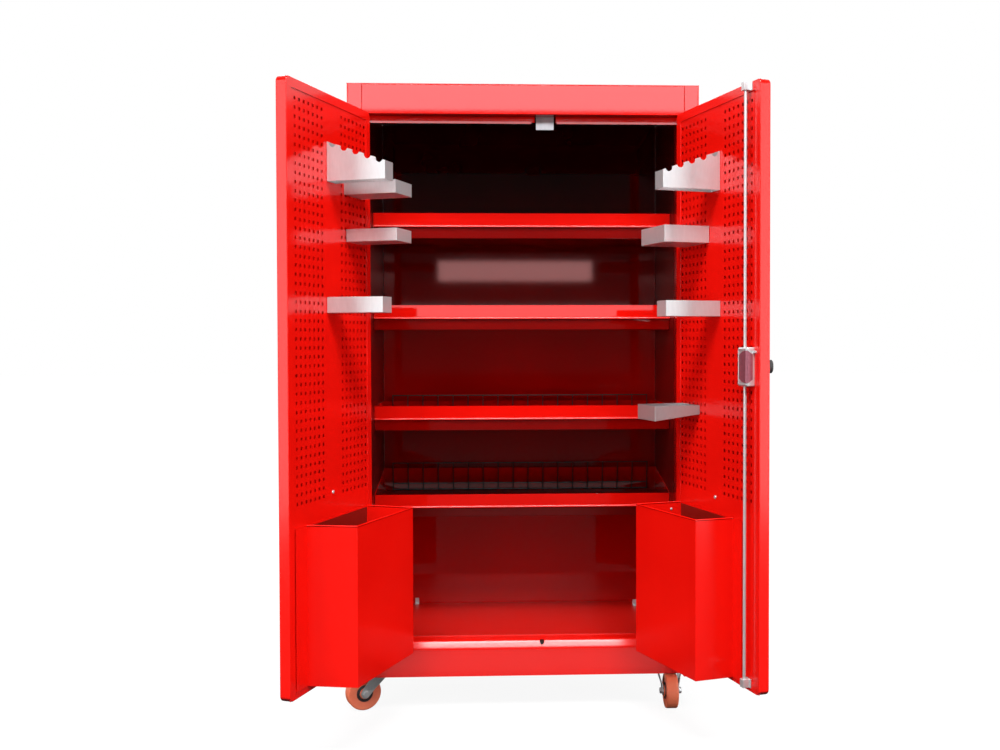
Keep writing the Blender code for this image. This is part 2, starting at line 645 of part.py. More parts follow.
holder_tray("left_shelf_tray", 1, *shelf, LEFT_SHELF_TRAY_DROP)
shelf = (RIGHT_SHELF_TRAY_U, RIGHT_SHELF_TRAY_WIDTH, RIGHT_SHELF_TRAY_REACH, RIGHT_SHELF_TRAY_HEIGHT)
holder_tray("right_shelf_tray", -1, *shelf, RIGHT_SHELF_TRAY_DROP)
low = (RIGHT_LOW_TRAY_U, RIGHT_LOW_TRAY_WIDTH, RIGHT_LOW_TRAY_REACH, RIGHT_LOW_TRAY_HEIGHT)
holder_tray("right_low_tray", -1, *low, RIGHT_LOW_TRAY_DROP)

# Lock: case on the right door, with a pinion between two racks.
right = doors[-1][0]
lock_at = (-ROD_U, HINGE_FORWARD, LOCK_Z)
outer = rect(-CASE_WIDTH / 2, -CASE_HEIGHT / 2, CASE_WIDTH / 2, CASE_HEIGHT / 2)
inner = inset(outer, CASE_WALL)
sections = [(outer, CASE_FRONT), (outer, HOLDER_BACK), (inner, HOLDER_BACK), (inner, CASE_FRONT - CASE_WALL)]
case = make("lock_case", right, sections, "Y", ZINC, at=lock_at)
bore = ROD_RADIUS + RUNNING_GAP
reach = CASE_HEIGHT / 2 + CASE_WALL
combine(case, "DIFFERENCE", rod("case_bore", right, bore, -reach, reach, centre=(0.0, ROD_T), at=lock_at))
for number, pierced in enumerate(doors[-1][1:]):
    hole = rod(f"spindle_hole_{number}", right, SPINDLE_RADIUS + RUNNING_GAP, -0.010, 0.040, "Y", at=lock_at)
    combine(pierced, "DIFFERENCE", hole)


def involute(angle):
    return math.tan(angle) - angle


base_radius = GEAR_RADIUS * math.cos(PRESSURE_ANGLE)
tooth = math.pi * MODULE / 2 - BACKLASH
half_tooth = tooth / 2 / GEAR_RADIUS + involute(PRESSURE_ANGLE)
flank = [(GEAR_RADIUS - DEDENDUM, half_tooth)]
for r in (base_radius, GEAR_RADIUS, GEAR_RADIUS + ADDENDUM):
    flank.append((r, half_tooth - involute(math.acos(base_radius / r))))
outline = []
for i in range(GEAR_TEETH):
    middle = 2 * math.pi * i / GEAR_TEETH
    for r, half in flank:
        outline.append((r * math.cos(middle - half), r * math.sin(middle - half)))
    for r, half in flank[::-1]:
        outline.append((r * math.cos(middle + half), r * math.sin(middle + half)))
gear_low, gear_high = ROD_T - GEAR_WIDTH / 2, ROD_T + GEAR_WIDTH / 2
pinion = make("lock_pinion", right, [(outline, gear_low), (outline, gear_high)], "Y", ZINC, at=lock_at)
spindle = rod("spindle", right, SPINDLE_RADIUS, -SPINDLE_OUT, SPINDLE_END, "Y", segments=24, at=lock_at)
combine(pinion, "UNION", spindle)

# Knob on the outer face, bored for the spindle.
bore = circle(SPINDLE_RADIUS + RUNNING_GAP, 24)
grip = oval(KNOB_LENGTH, KNOB_WIDTH, 24)
crown = oval(KNOB_LENGTH - 0.006, KNOB_WIDTH - 0.006, 24)
skirt = circle(KNOB_WIDTH / 2 + 0.002, 24)
sections = [(crown, -SEAM - KNOB_HEIGHT), (grip, 0.003 - KNOB_HEIGHT), (grip, -SPINDLE_OUT)]
sections += [(skirt, 0.002 - SPINDLE_OUT), (skirt, -SEAM), (bore, -SEAM), (bore, -SPINDLE_OUT - SEAM)]
make("lock_knob", right, sections, "Y", BLACK_PLASTIC, at=lock_at)

# Rods: each has a rack blade beside the pinion and a crank that brings it over to the rod.
pitch = math.pi * MODULE
slope = math.tan(PRESSURE_ANGLE)
tip, root_line = GEAR_RADIUS - ADDENDUM, GEAR_RADIUS + DEDENDUM
tip_half, root_half = tooth / 2 - ADDENDUM * slope, tooth / 2 + DEDENDUM * slope
blade_back = root_line + RACK_BLADE
crank_low = RACK_HALF - CRANK
teeth = [(root_line, -RACK_HALF)]
for i in range(7):
    z = pitch * (i - 4.5)
    teeth += [(root_line, z - root_half), (tip, z - tip_half)]
    teeth += [(tip, z + tip_half), (root_line, z + root_half)]
teeth += [(root_line, crank_low), (-ROD_RADIUS, crank_low), (-ROD_RADIUS, RACK_HALF)]
teeth += [(blade_back, RACK_HALF), (blade_back, -RACK_HALF)]
rod_top = DOOR_TOP - 2 * GUIDE_EDGE - LOCK_Z
rod_bottom = LOCK_Z - FLOOR - DOOR_TOP_GAP
rod_at = (lock_at[0], at_t(ROD_T), LOCK_Z)
for word, way, end in (("upper", 1, rod_top), ("lower", -1, rod_bottom)):
    outline = [(way * x, way * z) for x, z in teeth]
    ends = [(outline, -GEAR_WIDTH / 2), (outline, GEAR_WIDTH / 2)]
    rack = make(f"{word}_lock_rod", right, ends, "Y", ZINC, at=rod_at)
    start = crank_low + ROD_RADIUS / 2
    combine(rack, "UNION", rod(f"{word}_rod", right, ROD_RADIUS, way * start, way * end, at=rod_at))

# Guides that hold the rods, on the top and bottom lips of the door.
guide_top = DOOR_TOP - GUIDE_EDGE - GUIDE_HEIGHT
guide_bottom = FLOOR + BIN_CLEARANCE
for word, z in (("upper", guide_top), ("lower", guide_bottom)):
    foot = rect(-GUIDE_WIDTH / 2, 0.0, GUIDE_WIDTH / 2, GUIDE_HEIGHT)
    half = ROD_RADIUS + GUIDE_WALL
    head = rect(-half, GUIDE_EDGE, half, GUIDE_HEIGHT - GUIDE_EDGE)
    plate_t = GUIDE_BACK + GUIDE_PLATE
    sections = [(foot, GUIDE_BACK), (foot, plate_t), (head, plate_t), (head, GUIDE_FRONT)]
    guide = make(f"{word}_rod_guide", right, sections, "Y", ZINC, at=(lock_at[0], lock_at[1], z))
    bore, high = ROD_RADIUS + RUNNING_GAP, GUIDE_HEIGHT + GUIDE_WALL
    hole = rod(f"{word}_guide_bore", right, bore, -GUIDE_WALL, high, at=(rod_at[0], rod_at[1], z))
    combine(guide, "DIFFERENCE", hole)


def leg_sections(way):
    """Leg of a fork: upright round the axle and leaning outwards above it."""
    top = CASTER_HEIGHT - PLATE_SHEET - RACEWAY_DEPTH - SEAM - CROWN_DEPTH / 2
    level, angle = LEG_BOSS, math.radians(35)
    fore = (TRAIL + level * math.cos(angle), level * math.sin(angle))
    aft = (TRAIL - level * math.cos(angle), -level * math.sin(angle))
    sections = []
    for rise in (top - AXLE_Z, level, fore[1], 0.0, aft[1], -0.85 * level, -0.97 * level):
        half = math.sqrt(max(level * level - rise * rise, 0.0))
        span = top - AXLE_Z
        front, rear = TRAIL + half, TRAIL - half
        if rise > fore[1]:
            front = fore[0] + (LEG_TOP - fore[0]) * (rise - fore[1]) / (span - fore[1])
        if rise > aft[1]:
            rear = aft[0] + (-LEG_TOP - aft[0]) * (rise - aft[1]) / (span - aft[1])
        lean = LEG_LEAN * max(rise - level, 0.0) / (span - level)
        near, far = LEG_INNER + lean, LEG_INNER + LEG_SHEET + lean
        sections.append((rect(rear, way * near, front, way * far), AXLE_Z + rise))
    return sections


def caster(name, x, y):
    """Plate with kingpin, fork that swivels on it, axle, and wheel."""
    plate_low = CASTER_HEIGHT - PLATE_SHEET
    race_low = plate_low - RACEWAY_DEPTH
    crown_top = race_low - SEAM
    crown_low = crown_top - CROWN_DEPTH
    head_top = crown_low - SEAM
    plan = rounded_rect(PLATE_WIDTH / 2, PLATE_LENGTH / 2, PLATE_RADIUS, 4)
    race, pin, head = circle(RACEWAY_RADIUS, 16), circle(KINGPIN_RADIUS, 16), circle(KINGPIN_HEAD, 16)
    sections = [(head, head_top - KINGPIN_HEAD_DEPTH), (head, head_top), (pin, head_top), (pin, race_low)]
    sections += [(race, race_low), (race, plate_low), (plan, plate_low), (plan, CASTER_HEIGHT)]
    make(f"{name}_caster_plate", root, sections, finish=ZINC, at=(x, y, 0.0))
    swivel = empty(f"{name}_swivel", root, (x, y, 0.0), math.radians(HEADINGS[name]))
    outer = rounded_rect(CROWN_LENGTH / 2, CROWN_WIDTH / 2, CROWN_RADIUS, 3)
    inner = circle(KINGPIN_RADIUS + RUNNING_GAP, 12)
    sections = [(outer, crown_low), (outer, crown_top), (inner, crown_top), (inner, crown_low)]
    fork = make(f"{name}_fork", swivel, sections, finish=ZINC, ring=True)
    for word, way in SIDES:
        combine(fork, "UNION", make(f"{name}_{word}_leg", swivel, leg_sections(way)))
    axle_at = (TRAIL, 0.0, AXLE_Z)
    bore = AXLE_RADIUS + RUNNING_GAP
    hole = rod(f"{name}_axle_hole", swivel, bore, -CROWN_WIDTH, CROWN_WIDTH, "Y", at=axle_at)
    combine(fork, "DIFFERENCE", hole)
    nut, shaft = hexagon(2 * AXLE_HEAD), circle(AXLE_RADIUS, 12)
    near = LEG_INNER + LEG_SHEET + SEAM
    far = near + AXLE_HEAD_DEPTH
    sections = [(nut, -far), (nut, -near), (shaft, -near), (shaft, near), (nut, near), (nut, far)]
    make(f"{name}_axle", swivel, sections, "Y", ZINC, at=axle_at)
    half = [(bore, HUB_HALF), (HUB_RADIUS, HUB_HALF), (HUB_RADIUS + 0.003, TREAD_HALF - 0.002)]
    half += [(WHEEL_RADIUS - 0.004, TREAD_HALF), (WHEEL_RADIUS, TREAD_HALF - 0.0045)]
    profile = [(r, -e) for r, e in half] + half[::-1]
    sections = [(circle(r, 20), e) for r, e in profile]
    make(f"{name}_wheel", swivel, sections, "Y", ORANGE_WHEEL, ring=True, at=axle_at)


for end, y in (("front", CASTER_FRONT_Y), ("rear", CASTER_REAR_Y)):
    for word, side in SIDES:
        caster(f"{end}_{word}", -side * CASTER_X, y)
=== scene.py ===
"""Look of a red steel tool cabinet on casters, with its two doors standing open."""
import json
import math

import bmesh
import bpy
from mathutils import Matrix, Vector

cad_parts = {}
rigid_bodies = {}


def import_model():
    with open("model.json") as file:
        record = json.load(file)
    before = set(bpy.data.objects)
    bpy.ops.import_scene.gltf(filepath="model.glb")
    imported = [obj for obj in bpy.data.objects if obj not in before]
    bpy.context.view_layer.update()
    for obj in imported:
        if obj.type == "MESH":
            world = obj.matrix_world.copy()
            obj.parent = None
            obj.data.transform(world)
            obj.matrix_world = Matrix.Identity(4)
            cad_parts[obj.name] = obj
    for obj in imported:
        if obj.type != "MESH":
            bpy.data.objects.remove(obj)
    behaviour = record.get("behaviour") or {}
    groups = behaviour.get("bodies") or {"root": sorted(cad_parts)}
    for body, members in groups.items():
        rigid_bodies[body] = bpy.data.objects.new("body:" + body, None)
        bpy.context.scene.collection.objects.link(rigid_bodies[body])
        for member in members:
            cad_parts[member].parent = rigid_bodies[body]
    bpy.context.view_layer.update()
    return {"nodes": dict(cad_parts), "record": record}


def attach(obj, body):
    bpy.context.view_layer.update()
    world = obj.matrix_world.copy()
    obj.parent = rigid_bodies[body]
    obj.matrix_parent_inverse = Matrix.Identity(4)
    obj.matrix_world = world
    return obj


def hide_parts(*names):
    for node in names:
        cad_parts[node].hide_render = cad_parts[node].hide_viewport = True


for spare in list(bpy.data.objects):
    bpy.data.objects.remove(spare)
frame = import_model()
scene = bpy.context.scene
scene.view_settings.view_transform = "Standard"

# Camera: a plain lens at chest height, left of the middle and turned a little to the right.
# The picture is shifted a little off the lens's axis.
EYE = (-0.092355, -3.051719, 1.0759)
TURN = math.radians(-2.331)
NOD = math.radians(-1.318)
LEAN = math.radians(-0.115)
SENSOR_MM = 36.0
FOCAL_MM = 38.33
lens = bpy.data.cameras.new("camera")
lens.sensor_width = SENSOR_MM
lens.lens = FOCAL_MM
lens.shift_x = -0.0358
lens.shift_y = -0.0107
camera = bpy.data.objects.new("camera", lens)
scene.collection.objects.link(camera)
aim = Matrix.Rotation(TURN, 3, "Z") @ Matrix.Rotation(NOD, 3, "X")
across, ahead, upward = aim.col[0].copy(), aim.col[1].copy(), aim.col[2].copy()
leaned_across = math.cos(LEAN) * across + math.sin(LEAN) * upward
leaned_up = math.cos(LEAN) * upward - math.sin(LEAN) * across
stand = Matrix((leaned_across, leaned_up, -ahead)).transposed().to_4x4()
stand.translation = Vector(EYE)
camera.matrix_world = stand
scene.camera = camera


# Studio: a dim room with soft boxes high in front, at both sides and behind. They stand so that the
# header and each tray shade the space under them. Beyond the cabinet the room is plain white.
SIDES = ((-1, "left"), (1, "right"))
WHITE = (1.0, 1.0, 1.0)
ROOM_TINT = (1.0, 0.98, 0.97)
ROOM_LIGHT = 0.05


def node_tree(owner):
    """Empty node tree of a material or world, with short makers for its nodes and links."""
    owner.use_nodes = True
    tree = owner.node_tree
    tree.nodes.clear()

    def add(kind, **settings):
        node = tree.nodes.new(kind)
        for key, value in settings.items():
            setattr(node, key, value)
        return node

    return add, tree.links.new


def seen_white(add, link, coordinates, start, stop):
    """Share of plain white: full for the camera, and for gloss from a line beyond the cabinet."""
    ray = add("ShaderNodeLightPath")
    shiny = add("ShaderNodeMath", operation="ADD", use_clamp=True)
    link(ray.outputs["Is Glossy Ray"], shiny.inputs[0])
    link(ray.outputs["Is Transmission Ray"], shiny.inputs[1])
    place = add("ShaderNodeSeparateXYZ")
    link(coordinates, place.inputs[0])
    beyond = add("ShaderNodeMapRange", interpolation_type="SMOOTHSTEP")
    link(place.outputs["Y"], beyond.inputs["Value"])
    beyond.inputs["From Min"].default_value = start
    beyond.inputs["From Max"].default_value = stop
    shown = add("ShaderNodeMath", operation="MULTIPLY_ADD", use_clamp=True)
    link(shiny.outputs[0], shown.inputs[0])
    link(beyond.outputs["Result"], shown.inputs[1])
    link(ray.outputs["Is Camera Ray"], shown.inputs[2])
    return shown.outputs[0]


room = bpy.data.worlds.new("room")
scene.world = room
add, link = node_tree(room)
dim = add("ShaderNodeBackground")
dim.inputs["Color"].default_value = (*ROOM_TINT, 1.0)
dim.inputs["Strength"].default_value = ROOM_LIGHT
white = add("ShaderNodeBackground")
white.inputs["Color"].default_value = (*WHITE, 1.0)
white.inputs["Strength"].default_value = 1.0
look = add("ShaderNodeTexCoord")
choice = add("ShaderNodeMixShader")
link(seen_white(add, link, look.outputs["Generated"], 0.0, 0.3), choice.inputs[0])
link(dim.outputs[0], choice.inputs[1])
link(white.outputs[0], choice.inputs[2])
out = add("ShaderNodeOutputWorld")
link(choice.outputs[0], out.inputs["Surface"])


def soft_box(name, place, target, size, brightness, shines=True, lights=True, tint=WHITE):
    """Soft box, given its width and height, whose face is that many times as bright as white paper."""
    lamp = bpy.data.lights.new(name, "AREA")
    lamp.shape = "RECTANGLE"
    lamp.size, lamp.size_y = size
    lamp.energy = brightness * math.pi * size[0] * size[1]
    lamp.color = tint
    holder = bpy.data.objects.new(name, lamp)
    scene.collection.objects.link(holder)
    away = Vector(place) - Vector(target)
    holder.matrix_world = Matrix.Translation(place) @ away.to_track_quat("Z", "Y").to_matrix().to_4x4()
    holder.visible_camera = False
    holder.visible_diffuse = lights
    holder.visible_glossy = shines


def card(name, place, size, brightness, tint=WHITE):
    """Upright card in front of the cabinet, which only shows in its gloss."""
    soft_box(name, place, (place[0], 0.0, place[2]), size, brightness, lights=False, tint=tint)


soft_box("key_box", (0.0, -4.7, 7.5), (0.0, 0.0, 1.0), (6.0, 2.4), 27.0)
for way, word in SIDES:
    soft_box(f"{word}_box", (way * 3.4, -2.4, 1.5), (way * -0.4, -0.2, 0.9), (2.2, 2.9), 5.4, shines=False)
soft_box("rear_box", (0.0, 4.2, 3.0), (0.0, 0.4, 0.9), (4.0, 2.6), 4.0)
for way, word in SIDES:
    place = (way * 3.35, -2.37, 1.49)
    soft_box(f"{word}_card", place, (way * -0.4, -0.2, 0.9), (2.2, 2.9), 2.0, lights=False)
card("header_card", (0.0, -4.5, 3.0525), (5.0, 0.815), 5.0, tint=(0.93, 0.94, 1.0))
card("streak_card", (0.08, -4.0, 1.59), (1.15, 0.15), 6.0, tint=(1.0, 0.44, 0.43))
card("tray_card", (0.0, -4.0, 1.265), (2.6, 0.13), 2.4)
card("base_card", (0.0, -0.25, 0.07), (0.9, 0.10), 0.9)
soft_box("edge_card", (0.0, -3.2, 4.2), (0.0, 0.0, 0.2), (5.0, 2.4), 3.5, lights=False)


# Floor: a wide pale sweep that runs out to white. It throws little light back, so that the deep
# spaces stay dark, and it keeps the cabinet's shadow.
FLOOR_REACH = 30.0
FOUR_CORNERS = ((-1, -1), (1, -1), (1, 1), (-1, 1))
floor_mesh = bpy.data.meshes.new("floor")
corners = [(a * FLOOR_REACH, b * FLOOR_REACH, 0.0) for a, b in FOUR_CORNERS]
floor_mesh.from_pydata(corners, [], [(0, 1, 2, 3)])
floor = bpy.data.objects.new("floor", floor_mesh)
scene.collection.objects.link(floor)
pale = bpy.data.materials.new("pale_floor")
add, link = node_tree(pale)
spot = add("ShaderNodeTexCoord")
matt = add("ShaderNodeBsdfDiffuse")
matt.inputs["Color"].default_value = (0.10, 0.10, 0.10, 1.0)
dark = add("ShaderNodeBsdfDiffuse")
dark.inputs["Color"].default_value = (0.05, 0.05, 0.05, 1.0)
away = add("ShaderNodeVectorMath", operation="LENGTH")
link(spot.outputs["Object"], away.inputs[0])
rising = add("ShaderNodeMapRange", interpolation_type="SMOOTHSTEP")
link(away.outputs["Value"], rising.inputs["Value"])
rising.inputs["From Min"].default_value = 0.6
rising.inputs["From Max"].default_value = 3.0
rising.inputs["To Min"].default_value = 0.92
rising.inputs["To Max"].default_value = 1.0
glow = add("ShaderNodeEmission")
link(rising.outputs["Result"], glow.inputs["Strength"])
both = add("ShaderNodeAddShader")
link(matt.outputs[0], both.inputs[0])
link(glow.outputs[0], both.inputs[1])
choice = add("ShaderNodeMixShader")
link(seen_white(add, link, spot.outputs["Object"], 0.30, 0.60), choice.inputs[0])
link(dark.outputs[0], choice.inputs[1])
link(both.outputs[0], choice.inputs[2])
out = add("ShaderNodeOutputMaterial")
link(choice.outputs[0], out.inputs["Surface"])
floor_mesh.materials.append(pale)


# Carcass: two double-walled sides with folded corner posts, top, header rail, back and caster beams.
# They are bent from 1.5 mm steel sheet, the beams from 3 mm, spot welded and sprayed in one coat of gloss
# red. Within the limits of x, y and z in WITHIN the paint is darkened as painted shade, by the share in
# PAINTED_SHADE_AT at a height, and faces that look down are darkened as painted shade too.
WITHIN = (0.4975, 0.4690, 1.7992)
LOWEST, HIGHEST = 0.20, 1.62
# Share of painted shade at each height, set space by space under the header and between the trays.
PAINTED_SHADE_AT = ((LOWEST, 0.0), (0.535, 0.20), (0.560, 0.62), (0.820, 0.62),
           (0.850, 0.08), (1.150, 0.08), (1.185, 0.72), (HIGHEST, 1.0))
OUTER_ROUGHNESS = 0.16
SHEET = 0.0015
CUT_EDGE = 0.0026
CREASE = math.radians(38.0)
BEAM_FOLD, SIDE_FOLD, RAIL_FOLD = 0.003, 0.0012, 0.003
RAIL_GAP, BACK_SPREAD = 0.0014, 0.00025
END_BAND = 0.002
BODY_OF = {node: body for body, nodes in frame["record"]["behaviour"]["bodies"].items() for node in nodes}


def red_paint(name, deep, sway, grain, dullest, tone=1.0, span=(0.19, 0.40), least=0.20, matt=0.0):
    """Gloss enamel with orange peel and slow waves of thin sheet, darker deep inside and underneath.

    The share of painted shade rises to deep over a span of y, and low down it is only the least part of that.
    Faces that look down get painted shade too. Sway and grain are the strength of waves and peel. Dullest is
    the roughness, which matt raises deep inside.
    """
    paint = bpy.data.materials.new(name)
    add, link = node_tree(paint)
    place = add("ShaderNodeTexCoord")
    depth = add("ShaderNodeSeparateXYZ")
    link(place.outputs["Object"], depth.inputs[0])
    inside = add("ShaderNodeMapRange", interpolation_type="SMOOTHSTEP")
    link(depth.outputs["Y"], inside.inputs["Value"])
    inside.inputs["From Min"].default_value = span[0]
    inside.inputs["From Max"].default_value = span[1]
    inside.inputs["To Max"].default_value = deep
    # Painted shade share by height, from PAINTED_SHADE_AT.
    level = add("ShaderNodeMapRange")
    link(depth.outputs["Z"], level.inputs["Value"])
    level.inputs["From Min"].default_value = LOWEST
    level.inputs["From Max"].default_value = HIGHEST
    spaces = add("ShaderNodeValToRGB")
    link(level.outputs["Result"], spaces.inputs["Fac"])
    stops = spaces.color_ramp.elements
    while len(stops) < len(PAINTED_SHADE_AT):
        stops.new(0.5)
    for stop, (z, dark) in zip(stops, PAINTED_SHADE_AT):
        stop.position = (z - LOWEST) / (HIGHEST - LOWEST)
        stop.color = (dark, dark, dark, 1.0)
    higher = add("ShaderNodeMapRange")
    link(spaces.outputs["Color"], higher.inputs["Value"])
    higher.inputs["To Min"].default_value = least
    aside = add("ShaderNodeMath", operation="ABSOLUTE")
    link(depth.outputs["X"], aside.inputs[0])
    indoors = None
    for value, limit in zip((aside.outputs[0], depth.outputs["Y"], depth.outputs["Z"]), WITHIN):
        test = add("ShaderNodeMath", operation="LESS_THAN")
        link(value, test.inputs[0])
        test.inputs[1].default_value = limit
        if indoors:
            both = add("ShaderNodeMath", operation="MULTIPLY")
            link(indoors, both.inputs[0])
            link(test.outputs[0], both.inputs[1])
            test = both
        indoors = test.outputs[0]
    reached = add("ShaderNodeMath", operation="MULTIPLY")
    link(inside.outputs["Result"], reached.inputs[0])
    link(indoors, reached.inputs[1])
    far = add("ShaderNodeMath", operation="MULTIPLY")
    link(reached.outputs[0], far.inputs[0])
    link(higher.outputs["Result"], far.inputs[1])
    facing = add("ShaderNodeNewGeometry")
    tilt = add("ShaderNodeSeparateXYZ")
    link(facing.outputs["Normal"], tilt.inputs[0])
    # Faces that look down are darkened as painted shade.
    under = add("ShaderNodeMapRange")
    link(tilt.outputs["Z"], under.inputs["Value"])
    under.inputs["From Min"].default_value = -0.45
    under.inputs["From Max"].default_value = -0.20
    under.inputs["To Min"].default_value = 0.82
    under.inputs["To Max"].default_value = 0.0
    painted_shade_share = add("ShaderNodeMath", operation="MAXIMUM")
    link(far.outputs[0], painted_shade_share.inputs[0])
    link(under.outputs["Result"], painted_shade_share.inputs[1])
    clouds = add("ShaderNodeTexNoise")
    clouds.inputs["Scale"].default_value = 5.0
    clouds.inputs["Detail"].default_value = 4.0
    link(place.outputs["Object"], clouds.inputs["Vector"])
    tint = add("ShaderNodeMix", data_type="RGBA")
    link(clouds.outputs["Fac"], tint.inputs["Factor"])
    tint.inputs["A"].default_value = (0.72 * tone, 0.0040, 0.0018, 1.0)
    tint.inputs["B"].default_value = (0.80 * tone, 0.0065, 0.0030, 1.0)
    # Painted shade: the tint is mixed toward near black by painted_shade_share.
    shade = add("ShaderNodeMix", data_type="RGBA")
    link(painted_shade_share.outputs[0], shade.inputs["Factor"])
    link(tint.outputs["Result"], shade.inputs["A"])
    shade.inputs["B"].default_value = (0.03, 0.0003, 0.0003, 1.0)
    sheen = add("ShaderNodeMapRange")
    link(clouds.outputs["Fac"], sheen.inputs["Value"])
    sheen.inputs["To Min"].default_value = 0.7 * dullest
    sheen.inputs["To Max"].default_value = dullest
    outdoors = add("ShaderNodeMapRange")
    link(indoors, outdoors.inputs["Value"])
    outdoors.inputs["To Min"].default_value = OUTER_ROUGHNESS
    outdoors.inputs["To Max"].default_value = 0.0
    dusty = add("ShaderNodeMath", operation="MULTIPLY_ADD")
    link(reached.outputs[0], dusty.inputs[0])
    dusty.inputs[1].default_value = matt
    link(outdoors.outputs["Result"], dusty.inputs[2])
    dull = add("ShaderNodeMath", operation="MAXIMUM")
    link(sheen.outputs["Result"], dull.inputs[0])
    link(dusty.outputs[0], dull.inputs[1])
    waves = add("ShaderNodeTexNoise")
    waves.inputs["Scale"].default_value = 3.2
    waves.inputs["Detail"].default_value = 1.0
    link(place.outputs["Object"], waves.inputs["Vector"])
    slow = add("ShaderNodeBump")
    slow.inputs["Strength"].default_value = sway
    slow.inputs["Distance"].default_value = 0.006
    link(waves.outputs["Fac"], slow.inputs["Height"])
    peel = add("ShaderNodeTexNoise")
    peel.inputs["Scale"].default_value = 420.0
    peel.inputs["Detail"].default_value = 2.0
    link(place.outputs["Object"], peel.inputs["Vector"])
    fine = add("ShaderNodeBump")
    fine.inputs["Strength"].default_value = grain
    fine.inputs["Distance"].default_value = 0.001
    link(peel.outputs["Fac"], fine.inputs["Height"])
    link(slow.outputs["Normal"], fine.inputs["Normal"])
    shader = add("ShaderNodeBsdfPrincipled")
    link(shade.outputs["Result"], shader.inputs["Base Color"])
    link(dull.outputs[0], shader.inputs["Roughness"])
    link(fine.outputs["Normal"], shader.inputs["Normal"])
    out = add("ShaderNodeOutputMaterial")
    link(shader.outputs["BSDF"], out.inputs["Surface"])
    return paint


# All red paints darken faces that look down as painted shade. INSIDE_RED and SIDE_RED also darken deep inside
# the cabinet as painted shade.
RED = red_paint("gloss_red", 0.0, 0.20, 0.05, 0.18)
INSIDE_RED = red_paint("gloss_red_inside_painted_shade", 0.985, 0.0, 0.006, 0.05)
SIDE_RED = red_paint("gloss_red_sides_painted_shade", 0.985, 0.0, 0.006, 0.05, span=(0.0, 0.12), least=0.85, matt=0.30)


def finish_piece(name, shape, paint, body, node=None):
    """Object made from a bmesh, with smooth bends and crisp folds, riding on its body."""
    mesh = bpy.data.meshes.new(name)
    bmesh.ops.recalc_face_normals(shape, faces=shape.faces)
    shape.to_mesh(mesh)
    shape.free()
    for face in mesh.polygons:
        face.use_smooth = True
    mesh.set_sharp_from_angle(angle=CREASE)
    mesh.materials.append(paint)
    piece = bpy.data.objects.new(name, mesh)
    scene.collection.objects.link(piece)
    even = piece.modifiers.new("even_normals", "WEIGHTED_NORMAL")
    even.keep_sharp = True
    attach(piece, body)
    if node:
        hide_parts(node)
    return piece


def is_wide(face):
    """Whether a face is a stretch of sheet and not just its cut edge."""
    longest = max(edge.calc_length() for edge in face.edges)
    return face.calc_area() / longest > CUT_EDGE


def bent(node, paint, fold, edge=0.0004, steps=3, adjust=None, least=28.0):
    """Sheet piece on its solid, with round bends along the folds and eased cut edges."""
    shape = bmesh.new()
    shape.from_mesh(frame["nodes"][node].data)
    bmesh.ops.remove_doubles(shape, verts=shape.verts, dist=0.000002)
    flat = math.radians(1.0)
    bmesh.ops.dissolve_limit(shape, angle_limit=flat, verts=shape.verts, edges=shape.edges)
    if adjust:
        adjust(shape)
    shape.normal_update()
    bmesh.ops.connect_verts_concave(shape, faces=[face for face in shape.faces if len(face.verts) > 4])
    shape.normal_update()
    for width, is_fold, count in ((fold, True, steps), (edge, False, 1)):
        chosen = []
        for line in shape.edges:
            if len(line.link_faces) != 2 or line.calc_face_angle() < math.radians(least):
                continue
            if all(is_wide(face) for face in line.link_faces) != is_fold:
                continue
            if is_fold and not line.is_convex:
                continue
            chosen.append(line)
        if chosen and width:
            bmesh.ops.bevel(shape, geom=chosen, offset=width, offset_type="OFFSET", segments=count,
                            profile=0.5, affect="EDGES", clamp_overlap=True)
    return finish_piece(f"{node}_sheet", shape, paint, BODY_OF[node], node)


def trimmed(gap):
    """Change to a piece between the sides: both ends move in by a gap, or out by a negative one."""
    def cut(shape):
        ends = max(abs(vert.co.x) for vert in shape.verts) - END_BAND
        for vert in shape.verts:
            if abs(vert.co.x) > ends:
                vert.co.x -= math.copysign(gap, vert.co.x)
    return cut


for node in ("left_caster_beam", "right_caster_beam"):
    bent(node, RED, BEAM_FOLD)
for node, paint in (("top_panel", INSIDE_RED), ("left_side", SIDE_RED), ("right_side", SIDE_RED)):
    bent(node, paint, SIDE_FOLD)
bent("header_rail", INSIDE_RED, RAIL_FOLD, adjust=trimmed(RAIL_GAP))
bent("back_panel", INSIDE_RED, 0.0, edge=0.0, adjust=trimmed(-BACK_SPREAD))


# Base: floor and aprons folded from one sheet, with a slanting flat between the front apron and the
# floor. A loose liner sheet lies on the floor. The lower lock rod drops through a hole at the top of the
# flat, into a black cup under it. The cup's black is painted shade for the dark under the base.
FRONT_Y, REAR_Y = 0.011981, 0.480181
FLOOR_Z, UNDERSIDE = 0.204, 0.103
MIDDLE_X, HALF_INSIDE = -0.000855, 0.4487
INNER_Y = FRONT_Y + SHEET
FOLD_OUTSIDE = [(FRONT_Y, 0.1795), (FRONT_Y + 0.0003, 0.1825), (FRONT_Y + 0.0009, 0.1849), (0.013881, 0.1870),
                (0.022081, 0.2002), (0.0241, 0.2024), (0.0268, 0.2037), (0.0305, FLOOR_Z)]
FOLD_INSIDE = [(INNER_Y, 0.1793), (INNER_Y + 0.0003, 0.1821), (INNER_Y + 0.0008, 0.1842), (0.0152, 0.1862),
               (0.0233, 0.1993), (0.0249, 0.2011), (0.0272, 0.2022), (0.0305, FLOOR_Z - SHEET)]
REAR_ROUND = 0.006
ROD_HOLE = (0.049145, 0.023481, FLOOR_Z)
ROD_HOLE_RADIUS = 0.0065
LINER_LOW, LINER_HIGH = FLOOR_Z + 0.0002, FLOOR_Z + 0.0014
LINER_START, LINER_STOP = 0.075, 0.4660
LINER_HALF = 0.4465
